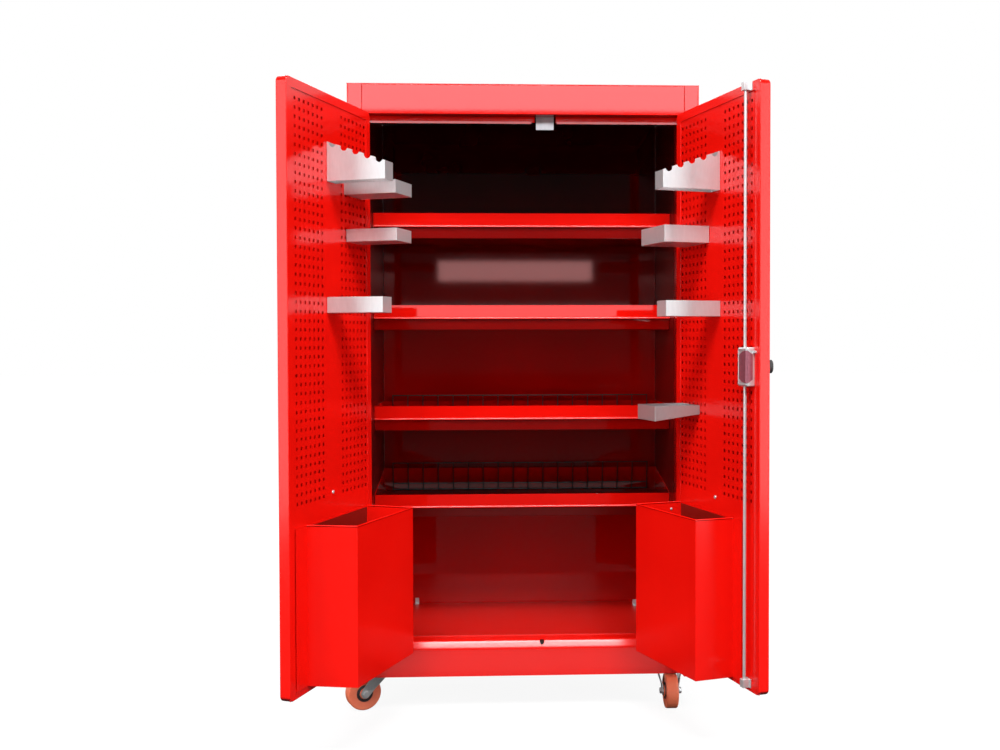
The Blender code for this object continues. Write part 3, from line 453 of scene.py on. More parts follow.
NICK = 0.0003
CUP_WALL = ((0.0066, -0.0016), (0.0072, -0.0016), (0.0072, -0.060),
            (0.0010, -0.060), (0.0010, -0.0592), (0.0066, -0.0592))
BEAD_RED = red_paint("gloss_red_bead", 0.0, 0.0, 0.02, 0.26)
# Dull red of the floor liner and back seams, darkened as painted shade deep inside and by a tone of 0.66.
DULL_SHADED_RED = red_paint("dull_red_painted_shade", 0.985, 0.0, 0.06, 0.40, tone=0.66)


def flecked(name, fineness, detail, dark, light, roughness, metallic=0.0):
    """Plain finish whose tint and roughness vary a little from fleck to fleck."""
    paint = bpy.data.materials.new(name)
    add, link = node_tree(paint)
    place = add("ShaderNodeTexCoord")
    spread = add("ShaderNodeMapping")
    spread.inputs["Scale"].default_value = fineness
    link(place.outputs["Object"], spread.inputs["Vector"])
    flecks = add("ShaderNodeTexNoise")
    flecks.inputs["Scale"].default_value = 1.0
    flecks.inputs["Detail"].default_value = detail
    link(spread.outputs["Vector"], flecks.inputs["Vector"])
    tint = add("ShaderNodeMix", data_type="RGBA")
    link(flecks.outputs["Fac"], tint.inputs["Factor"])
    tint.inputs["A"].default_value = (*dark, 1.0)
    tint.inputs["B"].default_value = (*light, 1.0)
    sheen = add("ShaderNodeMapRange")
    link(flecks.outputs["Fac"], sheen.inputs["Value"])
    sheen.inputs["To Min"].default_value = roughness[0]
    sheen.inputs["To Max"].default_value = roughness[1]
    shader = add("ShaderNodeBsdfPrincipled")
    link(tint.outputs["Result"], shader.inputs["Base Color"])
    link(sheen.outputs["Result"], shader.inputs["Roughness"])
    shader.inputs["Metallic"].default_value = metallic
    out = add("ShaderNodeOutputMaterial")
    link(shader.outputs["BSDF"], out.inputs["Surface"])
    return paint


BLACK = flecked("black_dip", (90.0, 90.0, 90.0), 2.0, (0.006, 0.005, 0.005), (0.022, 0.019, 0.019),
                (0.30, 0.50))


def loft(shape, rings, closed=False):
    """Skin over rings of points. The end rings are capped unless the skin closes on itself."""
    made = [[shape.verts.new(point) for point in ring] for ring in rings]
    pairs = list(zip(made, made[1:]))
    if closed:
        pairs.append((made[-1], made[0]))
    else:
        shape.faces.new(made[0])
        shape.faces.new(made[-1])
    for near, far in pairs:
        for k in range(len(near)):
            after = (k + 1) % len(near)
            shape.faces.new((near[k], near[after], far[after], far[k]))


def strip(line, start, stop):
    """Rings at the two ends of a strip that runs along x, from its line in the side view."""
    return [[Vector((x, y, z)) for y, z in line] for x in (start, stop)]


def arc(centre, radius, start, end, steps):
    """Points of an arc in a plane, from one angle to another in degrees."""
    points = []
    for k in range(steps + 1):
        angle = math.radians(start + (end - start) * k / steps)
        points.append((centre[0] + radius * math.cos(angle), centre[1] + radius * math.sin(angle)))
    return points


def round_line(centre, radius, steps):
    """Points round a whole circle in a plane."""
    return arc(centre, radius, 0.0, 360.0 - 360.0 / steps, steps - 1)


def circle(centre, radius, level, steps=20):
    """Ring of points round an upright axis, at a level above its centre."""
    return [Vector((a, b, level)) + Vector(centre) for a, b in round_line((0.0, 0.0), radius, steps)]


def carve(piece, rings):
    """Cut a plain tool, given as rings of points, out of a piece."""
    shape = bmesh.new()
    loft(shape, rings)
    bmesh.ops.recalc_face_normals(shape, faces=shape.faces)
    mesh = bpy.data.meshes.new("tool")
    shape.to_mesh(mesh)
    shape.free()
    tool = bpy.data.objects.new("tool", mesh)
    scene.collection.objects.link(tool)
    cut = piece.modifiers.new("cut", "BOOLEAN")
    cut.object = tool
    cut.operation, cut.solver = "DIFFERENCE", "EXACT"
    piece.modifiers.move(len(piece.modifiers) - 1, 0)
    for later in list(piece.modifiers)[1:]:
        later.show_viewport = False
    bpy.context.view_layer.update()
    carved = bpy.data.meshes.new_from_object(piece.evaluated_get(bpy.context.evaluated_depsgraph_get()))
    piece.modifiers.remove(cut)
    for later in piece.modifiers:
        later.show_viewport = True
    piece.data = carved
    carved.set_sharp_from_angle(angle=CREASE)
    bpy.data.objects.remove(tool)


rear_centre = (REAR_Y - REAR_ROUND, FLOOR_Z - REAR_ROUND)
outer = [(FRONT_Y, UNDERSIDE)] + FOLD_OUTSIDE + arc(rear_centre, REAR_ROUND, 90.0, 0.0, 5)
outer.append((REAR_Y, UNDERSIDE))
inner = [(INNER_Y, UNDERSIDE)] + FOLD_INSIDE + arc(rear_centre, REAR_ROUND - SHEET, 90.0, 0.0, 5)
inner.append((REAR_Y - SHEET, UNDERSIDE))
shape = bmesh.new()
loft(shape, strip(outer + inner[::-1], MIDDLE_X - HALF_INSIDE, MIDDLE_X + HALF_INSIDE))
base = finish_piece("base_pan_sheet", shape, BEAD_RED, "cabinet", "base_pan")
carve(base, [circle(ROD_HOLE, ROD_HOLE_RADIUS, level) for level in (-0.03, 0.01)])
line = [(LINER_START, LINER_LOW), (LINER_START + NICK, LINER_HIGH),
        (LINER_STOP - NICK, LINER_HIGH), (LINER_STOP, LINER_LOW)]
shape = bmesh.new()
loft(shape, strip(line, MIDDLE_X - LINER_HALF, MIDDLE_X + LINER_HALF))
finish_piece("floor_liner", shape, DULL_SHADED_RED, "cabinet")
# Painted shade: a black cup under the rod hole.
shape = bmesh.new()
loft(shape, [circle(ROD_HOLE, radius, level) for radius, level in CUP_WALL], closed=True)
finish_piece("rod_hole_shade_cup", shape, BLACK, "cabinet")


# Seams: a thin bead of sealer down both back corners, and a hemmed strip along the door stop under the
# header, left open at the striker of the lock. Both are sprayed over in red.
SEAM_HALF, SEAM_Y = 0.44803, 0.46750
SEAM_LOW, SEAM_HIGH = 0.2062, 1.7780
SEAM_RADIUS = 0.00095
HEM_HALF = 0.4470
HEM_BREAK = {"left": 0.0205, "right": 0.0935}
HEM_LINE = ((0.0112, 1.6941), (0.0110, 1.6945), (0.0113, 1.7005),
            (0.0115, 1.7008), (0.01196, 1.7008), (0.01196, 1.6941))


def tube(shape, points, radius, steps=8):
    """Round bar along a line of points, mitred where the line turns."""
    points = [Vector(point) for point in points]
    rings = []
    for k, point in enumerate(points):
        before = (point - points[k - 1]).normalized() if k else None
        after = (points[k + 1] - point).normalized() if k + 1 < len(points) else None
        way = ((before or after) + (after or before)).normalized()
        upright = Vector((0, 0, 1)) if abs(way.z) < 0.9 else Vector((1, 0, 0))
        across = way.cross(upright).normalized()
        above = across.cross(way)
        across = across / max(way.dot(after or before), 0.5)
        turns = [math.tau * i / steps for i in range(steps)]
        rings.append([point + radius * (math.cos(a) * across + math.sin(a) * above) for a in turns])
    loft(shape, rings)


for way, word in SIDES:
    corner = (MIDDLE_X + way * SEAM_HALF, SEAM_Y)
    shape = bmesh.new()
    tube(shape, [(*corner, SEAM_LOW), (*corner, SEAM_HIGH)], SEAM_RADIUS)
    finish_piece(f"{word}_back_seam", shape, DULL_SHADED_RED, "cabinet")
    ends = sorted((MIDDLE_X + way * HEM_HALF, HEM_BREAK[word]))
    shape = bmesh.new()
    loft(shape, strip(HEM_LINE, *ends))
    finish_piece(f"{word}_header_hem", shape, INSIDE_RED, "cabinet")


# Trays: four deep boxes folded from sheet and welded between the sides. Each front has a bead rolled
# along its lower fold. The two lower trays have a fence of black wire against their back wall.
TRAY_RIMS = (1.458, 1.181, 0.876, 0.607)
TRAY_Y = 0.174981
TRAY_LIP = 0.040
TRAY_FOLD = 0.0020
LAST_TILT = math.radians(10.0)
BEAD_HALF, BEAD_RADIUS, BEAD_IN = 0.4475, 0.0045, 0.0012
FENCE_Y = 0.2762
FENCE_HALF = 0.420
WIRES, WIRE_SPAN = 18, 0.836
WIRE_PITCH = WIRE_SPAN / (WIRES - 1)
WIRE_ENDS = (-0.0732, 0.020)
WIRE_RADIUS, RAIL_RADIUS = 0.0016, 0.0018
RAIL_LEVELS = (0.018, -0.051, -0.0712)
for number, rim in enumerate(TRAY_RIMS, 1):
    bent(f"tray_{number}", INSIDE_RED, TRAY_FOLD, least=20.0)
    tilt = LAST_TILT if number == len(TRAY_RIMS) else 0.0
    stand = Matrix.Translation((MIDDLE_X, TRAY_Y, rim)) @ Matrix.Rotation(tilt, 4, "X")
    shape = bmesh.new()
    tube(shape, [stand @ Vector((way * BEAD_HALF, BEAD_IN, -TRAY_LIP)) for way in (-1, 1)], BEAD_RADIUS, 12)
    finish_piece(f"tray_{number}_bead", shape, BEAD_RED, "cabinet")
    if number < 3:
        continue
    shape = bmesh.new()
    for k in range(WIRES):
        x = WIRE_PITCH * (k - (WIRES - 1) / 2)
        tube(shape, [stand @ Vector((x, FENCE_Y - RAIL_RADIUS, z)) for z in WIRE_ENDS], WIRE_RADIUS)
    for z in RAIL_LEVELS:
        tube(shape, [stand @ Vector((way * FENCE_HALF, FENCE_Y, z)) for way in (-1, 1)], RAIL_RADIUS)
    name = f"tray_{number}_fence"
    finish_piece(f"{name}_wires", shape, BLACK, "cabinet", name)


# Doors: shallow pans with rounded corners, their edges folded in and lipped. Each hangs on three
# lift-off hinges, with the pin half welded to the post and the socket half to the pan. The right pan
# has a hole for the spindle of the lock.
JOINTS = {joint["name"]: joint for joint in frame["record"]["behaviour"]["joints"]}
DOOR_OPEN = {"left": math.radians(-109.3), "right": math.radians(106.5)}
DOOR_SIDE = {"left": 1, "right": -1}
DOOR_LOW, DOOR_HIGH = 0.198, 1.711
HINGE_EDGE, FREE_EDGE = 0.0075, 0.4625
DOOR_THICK = 0.030
HINGE_FORWARD = 0.007
EDGE_ROUND = 0.005
CORNER, LEAST_CORNER = 0.014, 0.0008
LIP = 0.025
PIN_FOLD = 0.0005
HINGE_Z = (0.298, 0.9095, 1.521)
SOCKET_RISE = (0.0453, 0.090)
SOCKET_BORE, SOCKET_RADIUS = 0.0035, 0.0060
EASE = 0.0004
LEAF_START, WELD_START, LEAF_STOP = 0.0048, 0.0128, 0.036
LEAF_ROUND = 0.0015
LEAF_T, WELD_T = (-0.0023, -0.0003), (-0.0004, 0.0004)
LOCK_U, LOCK_Z = 0.414, 1.008
SPINDLE_HOLE = 0.0064


def door_stand(word):
    """Frame of a door: its x axis runs from the hinge across the door, its y axis points to the inside."""
    return Matrix.Translation(JOINTS[f"{word}_door_swing"]["pos_m"][:2] + [0.0]) @ \
        Matrix.Rotation(DOOR_OPEN[word], 4, "Z")


def on_door(word, u, t, z):
    """Point on a door: u from the hinge, t in from the outer face, z up from the ground."""
    return door_stand(word) @ Vector((DOOR_SIDE[word] * u, t + HINGE_FORWARD, z))


def upright_plate(word, outline, depths):
    """Rings of a plate parallel to a door, from its outline in u and z, at each depth t."""
    return [[on_door(word, u, t, z) for u, z in outline] for t in depths]


def rounded(low, high, radius, steps=5):
    """Rectangle with round corners, from its low to its high corner."""
    middle = ((low[0] + high[0]) / 2, (low[1] + high[1]) / 2)
    points = []
    for k, (a, b) in enumerate((high, (low[0], high[1]), low, (high[0], low[1]))):
        centre = (a - math.copysign(radius, a - middle[0]), b - math.copysign(radius, b - middle[1]))
        points += arc(centre, radius, 90.0 * k, 90.0 * (k + 1), steps)
    return points


back = DOOR_THICK - SHEET
pan_edge = arc((EDGE_ROUND, EDGE_ROUND), EDGE_ROUND, 270.0, 180.0, 6)
pan_edge += arc((SHEET, back), SHEET, 180.0, 90.0, 3)
pan_edge += [(LIP - NICK, DOOR_THICK), (LIP, DOOR_THICK - NICK), (LIP, back), (SHEET, back)]
pan_edge += arc((EDGE_ROUND, EDGE_ROUND), EDGE_ROUND - SHEET, 180.0, 270.0, 6)
for word in ("left", "right"):
    for number in (1, 2, 3):
        bent(f"{word}_hinge_pin_{number}", RED, PIN_FOLD)
    rings = []
    for margin, t in pan_edge:
        outline = rounded((HINGE_EDGE + margin, DOOR_LOW + margin), (FREE_EDGE - margin, DOOR_HIGH - margin),
                          max(CORNER - margin, LEAST_CORNER))
        rings += upright_plate(word, outline, (t,))
    shape = bmesh.new()
    loft(shape, rings)
    for z in HINGE_Z:
        low, high = z + SOCKET_RISE[0], z + SOCKET_RISE[1]
        ends = [(SOCKET_BORE, low + EASE), (SOCKET_BORE + EASE, low)]
        ends += [(SOCKET_RADIUS - EASE, low), (SOCKET_RADIUS, low + EASE)]
        ends += [(radius, low + high - level) for radius, level in ends[::-1]]
        middle = door_stand(word).translation
        loft(shape, [circle(middle, radius, level) for radius, level in ends], closed=True)
        leaf = rounded((LEAF_START, low), (LEAF_STOP, high), LEAF_ROUND, 3)
        loft(shape, upright_plate(word, leaf, LEAF_T))
        weld = rounded((WELD_START, low), (LEAF_STOP, high), LEAF_ROUND, 3)
        loft(shape, upright_plate(word, weld, WELD_T))
    pan = finish_piece(f"{word}_door_pan_sheet", shape, RED, f"{word}_door", f"{word}_door_pan")
    if word == "right":
        carve(pan, upright_plate(word, round_line((LOCK_U, LOCK_Z), SPINDLE_HOLE, 24), (-0.01, 0.012)))


# Perforated panels: thin sheet held behind the lips of each door, with two fields of square holes
# for hooks and a plain strip between them. It is sprayed with the door. On the right one, two cells
# give way to a round hole for the spindle of the lock.
PANEL_T, PANEL_SHEET = 0.0282, 0.0012
PANEL_U, PANEL_Z = (0.0095, 0.4605), (0.200, 1.709)
HOLE_PITCH = 0.0225
HALF_HOLE, HOLE_CORNER = 0.0041, 0.0010
FIELD_LINES, FIELD_ROWS = 8, 46
FIELD_STARTS, FIELD_FOOT = (0.03125, 0.27325), 0.66275
COLUMNS = [PANEL_U[0]]
for start in FIELD_STARTS:
    COLUMNS += [start + HOLE_PITCH * k for k in range(FIELD_LINES)]
COLUMNS.append(PANEL_U[1])
ROWS = [PANEL_Z[0]] + [FIELD_FOOT + HOLE_PITCH * k for k in range(FIELD_ROWS)] + [PANEL_Z[1]]
PLAIN_COLUMNS = (0, FIELD_LINES, 2 * FIELD_LINES)
PLAIN_ROWS = (0, FIELD_ROWS)
LOCK_LINES = (14, 15, 16)
LOCK_ROW = next(r for r in range(FIELD_ROWS) if ROWS[r] < LOCK_Z < ROWS[r + 1])
PANEL_HOLE, PANEL_HOLE_STEPS = 0.0068, 24
for word in ("left", "right"):
    shape = bmesh.new()
    grid = [[shape.verts.new(on_door(word, u, PANEL_T, z)) for z in ROWS] for u in COLUMNS]
    for c in range(len(COLUMNS) - 1):
        for r in range(len(ROWS) - 1):
            corners = [grid[c][r], grid[c + 1][r], grid[c + 1][r + 1], grid[c][r + 1]]
            if word == "right" and c in LOCK_LINES[:2] and r == LOCK_ROW:
                continue
            if c in PLAIN_COLUMNS or r in PLAIN_ROWS:
                shape.faces.new(corners)
                continue
            u, z = (COLUMNS[c] + COLUMNS[c + 1]) / 2, (ROWS[r] + ROWS[r + 1]) / 2
            h, k = HALF_HOLE, HALF_HOLE - HOLE_CORNER
            rim = [(-k, -h), (k, -h), (h, -k), (h, k), (k, h), (-k, h), (-h, k), (-h, -k)]
            rim = [shape.verts.new(on_door(word, u + a, PANEL_T, z + b)) for a, b in rim]
            for n in range(4):
                shape.faces.new((corners[n], corners[(n + 1) % 4], rim[2 * n + 1], rim[2 * n]))
                shape.faces.new((corners[n], rim[2 * n], rim[2 * n - 1]))
    if word == "right":
        border = [(c, LOCK_ROW) for c in LOCK_LINES] + [(c, LOCK_ROW + 1) for c in LOCK_LINES[::-1]]
        spots = round_line((LOCK_U, LOCK_Z), PANEL_HOLE, PANEL_HOLE_STEPS)
        hole = [shape.verts.new(on_door(word, u, PANEL_T, z)) for u, z in spots]
        slots = []
        for c, row in border:
            angle = math.atan2(ROWS[row] - LOCK_Z, COLUMNS[c] - LOCK_U)
            slots.append(round(angle * PANEL_HOLE_STEPS / math.tau) % PANEL_HOLE_STEPS)
        for n, (c, row) in enumerate(border):
            after = (n + 1) % len(border)
            steps = (slots[after] - slots[n]) % PANEL_HOLE_STEPS
            bow = [hole[(slots[after] - k) % PANEL_HOLE_STEPS] for k in range(steps + 1)]
            shape.faces.new([grid[c][row], grid[border[after][0]][border[after][1]]] + bow)
    inward = door_stand(word).to_3x3() @ Vector((0, 1, 0))
    for face in shape.faces:
        face.normal_update()
        if face.normal.dot(inward) < 0:
            face.normal_flip()
    mesh = bpy.data.meshes.new(f"{word}_panel_sheet")
    shape.to_mesh(mesh)
    shape.free()
    mesh.materials.append(RED)
    panel = bpy.data.objects.new(f"{word}_door_panel_sheet", mesh)
    scene.collection.objects.link(panel)
    gauge = panel.modifiers.new("gauge", "SOLIDIFY")
    gauge.thickness, gauge.offset = PANEL_SHEET, -1.0
    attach(panel, f"{word}_door")
    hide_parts(f"{word}_door_panel")


# Bins: deep sheet boxes at the foot of each door, deeper at the hinge end, with a flange that is welded
# to the door. The open rim is rolled. A dark sheet inside against the wall at the door is painted shade
# for the deep shade of the bin there.
BIN_BACK = 0.0306
BIN_PLAN = {"left": ((0.3800, BIN_BACK), (0.3570, 0.1580), (0.0420, 0.1703), (0.0420, BIN_BACK)),
            "right": ((0.3350, BIN_BACK), (0.3350, 0.1373), (0.0400, 0.1703), (0.0400, BIN_BACK))}
BIN_REACH = {"left": 0.4340, "right": 0.3800}
BIN_LOW = {"left": 0.2140, "right": 0.2080}
BIN_TOP = {"left": 0.6170, "right": 0.6200}
FOOT_ROUND = 0.0014
CORNER_ROUND, LEAST_ROUND = 0.0022, 0.0005
RIM_DROP, RIM_RADIUS = 0.0012, 0.0021
# Dark red sheet in each bin, painted shade for the deep shade by the door wall.
PAINTED_SHADE_SHEET_GAP, PAINTED_SHADE_SHEET_LOW, PAINTED_SHADE_SHEET_TOP = 0.0040, 0.020, 0.0045
PAINTED_SHADE_SHEET_T, PAINTED_SHADE_SHEET_ROUND = (0.0324, 0.0330, 0.0332), 0.002
PAINTED_SHADE_SHEET_RED = red_paint("painted_shade_sheet_red", 0.0, 0.0, 0.06, 0.45, tone=0.22)


def inset(plan, depth):
    """Plan moved inward by a depth, as a closed line with rounded corners."""
    line = []
    for k, spot in enumerate(plan):
        here = Vector(spot)
        before = (here - Vector(plan[k - 1])).normalized()
        after = (Vector(plan[(k + 1) % len(plan)]) - here).normalized()
        turn = math.copysign(1.0, before.x * after.y - before.y * after.x)
        aside_before = turn * Vector((-before.y, before.x))
        aside_after = turn * Vector((-after.y, after.x))
        split = (aside_before + aside_after).normalized()
        corner = here + split * depth / split.dot(aside_after)
        radius = max(CORNER_ROUND - depth, LEAST_ROUND)
        middle = corner + split * radius / split.dot(aside_after)
        for step in range(5):
            side = aside_before.lerp(aside_after, step / 4).normalized()
            line.append(middle - side * radius)
    return line


for word in ("left", "right"):
    plan, low, high = BIN_PLAN[word], BIN_LOW[word], BIN_TOP[word]
    levels = ((FOOT_ROUND, low), (EASE, low + EASE), (0.0, low + FOOT_ROUND), (0.0, high - EASE),
              (EASE, high), (SHEET - EASE, high), (SHEET, high - EASE), (SHEET, low + SHEET))
    shape = bmesh.new()
    loft(shape, [[on_door(word, u, t, z) for u, t in inset(plan, depth)] for depth, z in levels])
    edge, reach, front = plan[0][0] - CORNER_ROUND, BIN_REACH[word], BIN_BACK + SHEET
    flange = [(edge, BIN_BACK), (reach - NICK, BIN_BACK), (reach, BIN_BACK + NICK),
              (reach, front - NICK), (reach - NICK, front), (edge, front)]
    loft(shape, [[on_door(word, u, t, z) for u, t in flange] for z in (low + SHEET, high - SHEET)])
    finish_piece(f"{word}_bin_box", shape, RED, f"{word}_door", f"{word}_bin")
    shape = bmesh.new()
    tube(shape, [on_door(word, u, t, high - RIM_DROP) for u, t in inset(plan, SHEET / 2)], RIM_RADIUS, 10)
    finish_piece(f"{word}_bin_rim", shape, RED, f"{word}_door")
    # Painted shade: a dark red sheet against the door wall in each bin.
    near, far = plan[0][0] - PAINTED_SHADE_SHEET_GAP, plan[3][0] + PAINTED_SHADE_SHEET_GAP
    painted_shade_sheet = rounded((far, low + PAINTED_SHADE_SHEET_LOW), (near, high - PAINTED_SHADE_SHEET_TOP), PAINTED_SHADE_SHEET_ROUND, 3)
    shape = bmesh.new()
    loft(shape, upright_plate(word, painted_shade_sheet, PAINTED_SHADE_SHEET_T))
    finish_piece(f"{word}_bin_painted_shade_sheet", shape, PAINTED_SHADE_SHEET_RED, f"{word}_door")


# Holders: spanner racks with scalloped edges, narrow boxes and small trays. They are folded from bare
# zinc-plated sheet and hook into the panels.
HOLDER_FOLD = 0.0010
RACK_FAR_U = 0.211
RACK_DIP = 0.027
RACK_FOOT, RACK_END = 0.030, 0.003
LOW_TRAY_RISE = 0.016


def zinc_plate(name, tone):
    """Zinc plating, slightly streaked, neither bright nor dull."""
    dark = [tone * part for part in (0.565, 0.59, 0.60)]
    light = [tone * part for part in (0.67, 0.695, 0.705)]
    return flecked(name, (160.0, 160.0, 45.0), 4.0, dark, light, (0.24, 0.42), metallic=0.58)


def door_spots(word, shape):
    """Each vertex of a holder with its place in the frame of its door."""
    return [(vert, door_stand(word).inverted() @ vert.co) for vert in shape.verts]


def lowered(word):
    """Change to a rack: the scalloped edge of the wall toward the hinge is cut lower."""
    def cut(shape):
        spots = door_spots(word, shape)
        back, end = min(spot.y for _, spot in spots), max(spot.y for _, spot in spots)
        low = min(spot.z for _, spot in spots)
        for vert, spot in spots:
            far = abs(spot.x) < RACK_FAR_U + 2 * SHEET
            if far and back + RACK_END < spot.y < end - RACK_END and spot.z > low + RACK_FOOT:
                vert.co.z -= RACK_DIP
    return cut


def sloped(shape):
    """Change to the low tray: its floor rises toward the panel."""
    spots = door_spots("right", shape)
    back, end = min(spot.y for _, spot in spots), max(spot.y for _, spot in spots)
    middle = sum(spot.z for _, spot in spots) / len(spots)
    for vert, spot in spots:
        if spot.z < middle:
            vert.co.z += LOW_TRAY_RISE * (end - spot.y) / (end - back)


ZINC = zinc_plate("zinc", 1.0)
# The low tray is in zinc at 0.65 of the tone, darker than the rest.
DARKER_ZINC = zinc_plate("darker_zinc", 0.65)
for word in ("left", "right"):
    bent(f"{word}_spanner_rack", ZINC, HOLDER_FOLD, steps=2, adjust=lowered(word))
for node in ("left_box_bracket", "right_box_bracket", "left_small_tray", "left_shelf_tray",
             "right_shelf_tray"):
    bent(node, ZINC, HOLDER_FOLD, steps=2)
bent("right_low_tray", DARKER_ZINC, HOLDER_FOLD, steps=2, adjust=sloped)


# Lock: a pressed case on the right door hides a pinion that drives an upper and a lower rod. The rods
# run in two zinc-plated guides, and the black plastic knob outside turns the pinion. An angle under the
# header takes the upper rod. A dull plate wraps the front of the case, with a small tab beside it. Its grey
# is its own, and its mauve cast is painted reflection of the red around it.
CASE_BACK, CASE_FRONT = 0.0285, 0.052
CASE_HALF = (0.023, 0.0485)
CASE_WALL = 0.0020
CASE_ROUND, CASE_LEAST_ROUND = 0.0035, 0.001
CASE_STEPS = ((0.0, CASE_BACK), (0.0, 0.0470), (0.0010, 0.0495), (0.0038, CASE_FRONT),
              (0.0062, CASE_FRONT), (0.0068, 0.0516), (0.0076, 0.0509))
ROD_T, ROD_BORE = 0.043, 0.0046
PLATE = 0.0006
PLATE_WRAP = ((-0.0150, 0.0509, 0.030, 0.0, 1.0), (0.0, 0.0509, 0.038, 0.0, 1.0),
              (0.0150, 0.0509, 0.0405, 0.0, 1.0), (0.0192, 0.0521, 0.0405, 0.0, 1.0),
              (0.0221, 0.0496, 0.0405, 0.9, 0.4), (0.0231, 0.0470, 0.0395, 1.0, 0.0),
              (0.0231, 0.0350, 0.031, 1.0, 0.0))
TAB_LOW, TAB_HIGH = (0.4365, 1.0420), (0.4490, 1.0480)
TAB_T, TAB_ROUND = (0.0305, 0.0340, 0.0345), 0.0015
ROD_FOLD, ROD_EDGE = 0.0006, 0.0003
KNOB_FOLD, KNOB_EDGE = 0.0015, 0.0005
ROSE = ((0.0116, -0.0004), (0.0150, -0.0004), (0.0150, -0.0010), (0.0142, -0.0018), (0.0116, -0.0018))
# Grey of the plate, with a mauve cast that is painted reflection of the red around it.
PLATE_GREY = flecked("plate_grey_painted_reflection", (160.0, 160.0, 160.0), 2.0, (0.24, 0.075, 0.105), (0.42, 0.145, 0.19),
                     (0.35, 0.35), metallic=0.5)
KNOB = flecked("black_plastic", (240.0, 240.0, 240.0), 3.0, (0.012, 0.011, 0.012), (0.040, 0.034, 0.036),
               (0.42, 0.42))


def case_outline(margin, radius):
    """Outline of the case, moved in by a margin all round."""
    half = (CASE_HALF[0] - margin, CASE_HALF[1] - margin)
    return rounded((LOCK_U - half[0], LOCK_Z - half[1]), (LOCK_U + half[0], LOCK_Z + half[1]), radius, 3)


hollow = case_outline(CASE_WALL, CASE_LEAST_ROUND)
rings = upright_plate("right", hollow, (CASE_FRONT - CASE_WALL, CASE_BACK))
for margin, t in CASE_STEPS:
    radius = max(CASE_ROUND - margin / 2, CASE_LEAST_ROUND)
    rings += upright_plate("right", case_outline(margin, radius), (t,))
shape = bmesh.new()
loft(shape, rings)
case = finish_piece("lock_case_pressing", shape, ZINC, "right_door", "lock_case")
bore = round_line((LOCK_U, ROD_T), ROD_BORE, 18)
carve(case, [[on_door("right", u, t, LOCK_Z + z) for u, t in bore] for z in (-0.06, 0.06)])
# Plate over the front of the case; its mauve cast is painted reflection.
rings = []
for a, t, half, aside, ahead in PLATE_WRAP:
    inner = (LOCK_U + a, t)
    outer = (LOCK_U + a + PLATE * aside, t + PLATE * ahead)
    line = ((inner, -half), (outer, PLATE - half), (outer, half - PLATE), (inner, half))
    rings.append([on_door("right", *spot, LOCK_Z + z) for spot, z in line])
shape = bmesh.new()
loft(shape, rings)
finish_piece("lock_case_plate", shape, PLATE_GREY, "right_door")
shape = bmesh.new()
loft(shape, upright_plate("right", rounded(TAB_LOW, TAB_HIGH, TAB_ROUND, 3), TAB_T))
finish_piece("lock_case_tab", shape, ZINC, "right_door")
for node in ("upper_rod_guide", "lower_rod_guide", "rod_striker", "upper_lock_rod", "lower_lock_rod",
             "lock_pinion"):
    bent(node, ZINC, ROD_FOLD, edge=ROD_EDGE, steps=2)
bent("lock_knob", KNOB, KNOB_FOLD, edge=KNOB_EDGE)
rings = []
for radius, t in ROSE:
    rings += upright_plate("right", round_line((LOCK_U, LOCK_Z), radius, 32), (t,))
shape = bmesh.new()
loft(shape, rings, closed=True)
finish_piece("knob_rose", shape, ZINC, "right_door")


# Casters: zinc-plated plates and forks, pressed from sheet, with solid orange polyurethane wheels on
# bolted axles. Each wheel has a black hub ring at both faces.
CASTERS = ("front_left", "front_right", "rear_left", "rear_right")
CASTER_FOLD, CASTER_EDGE = 0.0010, 0.0005
WHEEL = [(0.0053, 0.0200), (0.0145, 0.0200), (0.0150, 0.0195), (0.0180, 0.0157), (0.0225, 0.0155),
         (0.0440, 0.0170), (0.0462, 0.0172), (0.0480, 0.0166), (0.0492, 0.0152), (0.0500, 0.0120),
         (0.0500, 0.0)]
HUB_RING = ((0.0154, 0.0172), (0.0235, 0.0155), (0.0245, 0.0168), (0.0235, 0.0174), (0.0165, 0.0182))
ORANGE = flecked("orange_polyurethane", (55.0, 55.0, 55.0), 5.0, (0.90, 0.165, 0.075), (1.0, 0.255, 0.130),
                 (0.42, 0.42))


def turned(stand, profile, steps):
    """Rings of a turned piece on its stand, from radii and levels along the axis."""
    return [[stand @ point for point in circle((0, 0, 0), radius, level, steps)] for radius, level in profile]


for corner in CASTERS:
    for node in (f"{corner}_caster_plate", f"{corner}_fork", f"{corner}_axle"):
        bent(node, ZINC, CASTER_FOLD, edge=CASTER_EDGE, steps=2)
    joint = JOINTS[f"{corner}_roll"]
    axle = Vector(joint["axis"]).to_track_quat("Z", "Y").to_matrix().to_4x4()
    spin = Matrix.Translation(joint["pos_m"]) @ axle
    profile = [(radius, -level) for radius, level in WHEEL] + WHEEL[-2::-1]
    shape = bmesh.new()
    loft(shape, turned(spin, profile, 48), closed=True)
    name = f"{corner}_wheel"
    finish_piece(f"{name}_tyre", shape, ORANGE, f"{corner}_roller", name)
    for way, word in ((-1, "near"), (1, "far")):
        shape = bmesh.new()
        loft(shape, turned(spin, [(radius, way * level) for radius, level in HUB_RING], 32), closed=True)
        finish_piece(f"{corner}_hub_{word}", shape, KNOB, f"{corner}_roller")


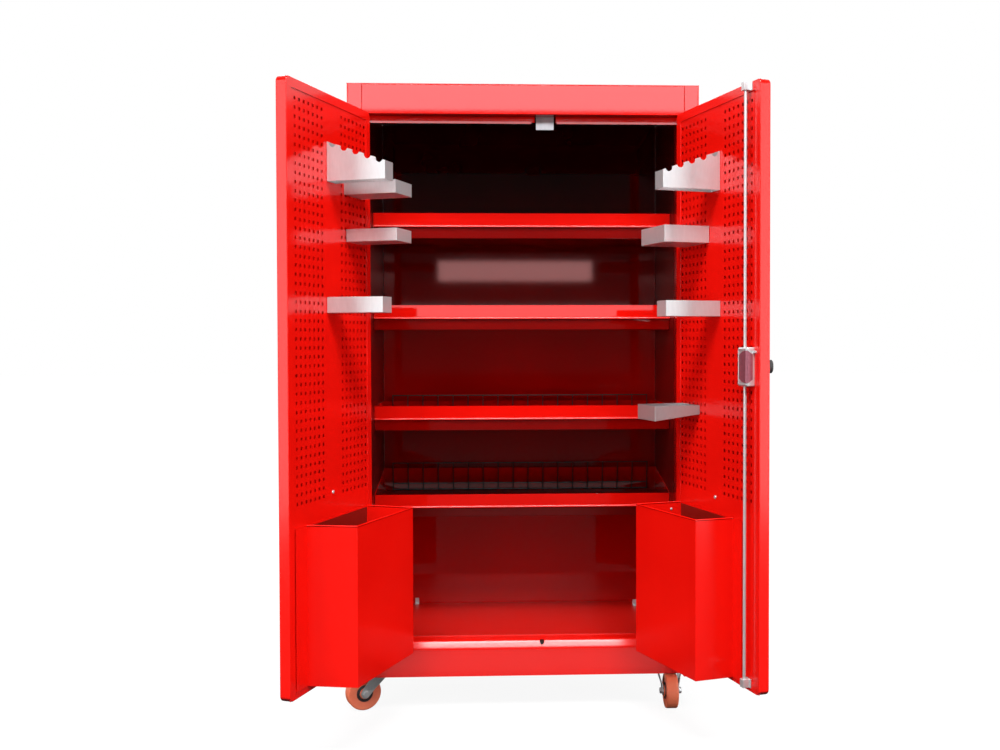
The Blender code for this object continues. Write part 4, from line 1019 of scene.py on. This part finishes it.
# Fasteners: round-headed screws in the panels and in the right bin, six-sided bolts under the caster
# plates, and two small angle clips that hold the floor liner. All are zinc-plated.
HEAD = ((1.0, -0.1), (1.0, 0.30), (0.92, 0.62), (0.72, 0.88), (0.40, 1.0))
PANEL_HEAD, SMALL_HEAD, BOLT_HEAD = (0.0050, 0.0026), (0.0036, 0.0022), (0.0055, 0.0045)
PANEL_SCREW_U = 0.235
PANEL_SCREW_Z = {"left": 0.6795, "right": 0.6584}
BIN_SCREW = (0.0415, 0.0617, 0.600)
BOLT_ACROSS, BOLT_ALONG, BOLT_Z = 0.0330, 0.0405, 0.124
CLIP_AT = {"left": (-0.343, 0.448), "right": (0.371, 0.393)}
CLIP_LONG, CLIP_TALL, CLIP_HALF, CLIP_SHEET = 0.016, 0.018, 0.006, 0.0012
CLIP_LOW = FLOOR_Z + 0.0016
CLIP_LINE = ((0.0, CLIP_LOW), (CLIP_LONG, CLIP_LOW), (CLIP_LONG, CLIP_LOW + CLIP_TALL),
             (CLIP_LONG - CLIP_SHEET, CLIP_LOW + CLIP_TALL), (CLIP_LONG - CLIP_SHEET, CLIP_LOW + CLIP_SHEET),
             (0.0, CLIP_LOW + CLIP_SHEET))


def head(name, spot, outward, size, body, sides=16):
    """Domed head of a screw that stands on a surface, given its radius and height."""
    stand = Matrix.Translation(spot) @ Vector(outward).to_track_quat("Z", "Y").to_matrix().to_4x4()
    radius, height = size
    shape = bmesh.new()
    loft(shape, turned(stand, [(radius * a, height * b) for a, b in HEAD], sides))
    finish_piece(name, shape, ZINC, body)


for word, z in PANEL_SCREW_Z.items():
    spot = on_door(word, PANEL_SCREW_U, PANEL_T, z)
    inward = door_stand(word).to_3x3() @ Vector((0, 1, 0))
    head(f"{word}_panel_screw", spot, inward, PANEL_HEAD, f"{word}_door")
from_hinge = door_stand("right").to_3x3() @ Vector((DOOR_SIDE["right"], 0, 0))
head("right_bin_screw", on_door("right", *BIN_SCREW), from_hinge, SMALL_HEAD, "right_door")
for corner in CASTERS:
    x, y = JOINTS[f"{corner}_swivel"]["pos_m"][:2]
    for number, (a, b) in enumerate(FOUR_CORNERS, 1):
        spot = (x + a * BOLT_ACROSS, y + b * BOLT_ALONG, BOLT_Z)
        head(f"{corner}_bolt_{number}", spot, (0, 0, -1), BOLT_HEAD, "cabinet", 6)
for word, (x, y) in CLIP_AT.items():
    shape = bmesh.new()
    loft(shape, strip([(y + b, z) for b, z in CLIP_LINE], x - CLIP_HALF, x + CLIP_HALF))
    finish_piece(f"{word}_liner_clip", shape, ZINC, "cabinet")
    spot = (x, y + CLIP_HALF, CLIP_LOW + CLIP_SHEET)
    head(f"{word}_clip_screw", spot, (0, 0, 1), SMALL_HEAD, "cabinet")
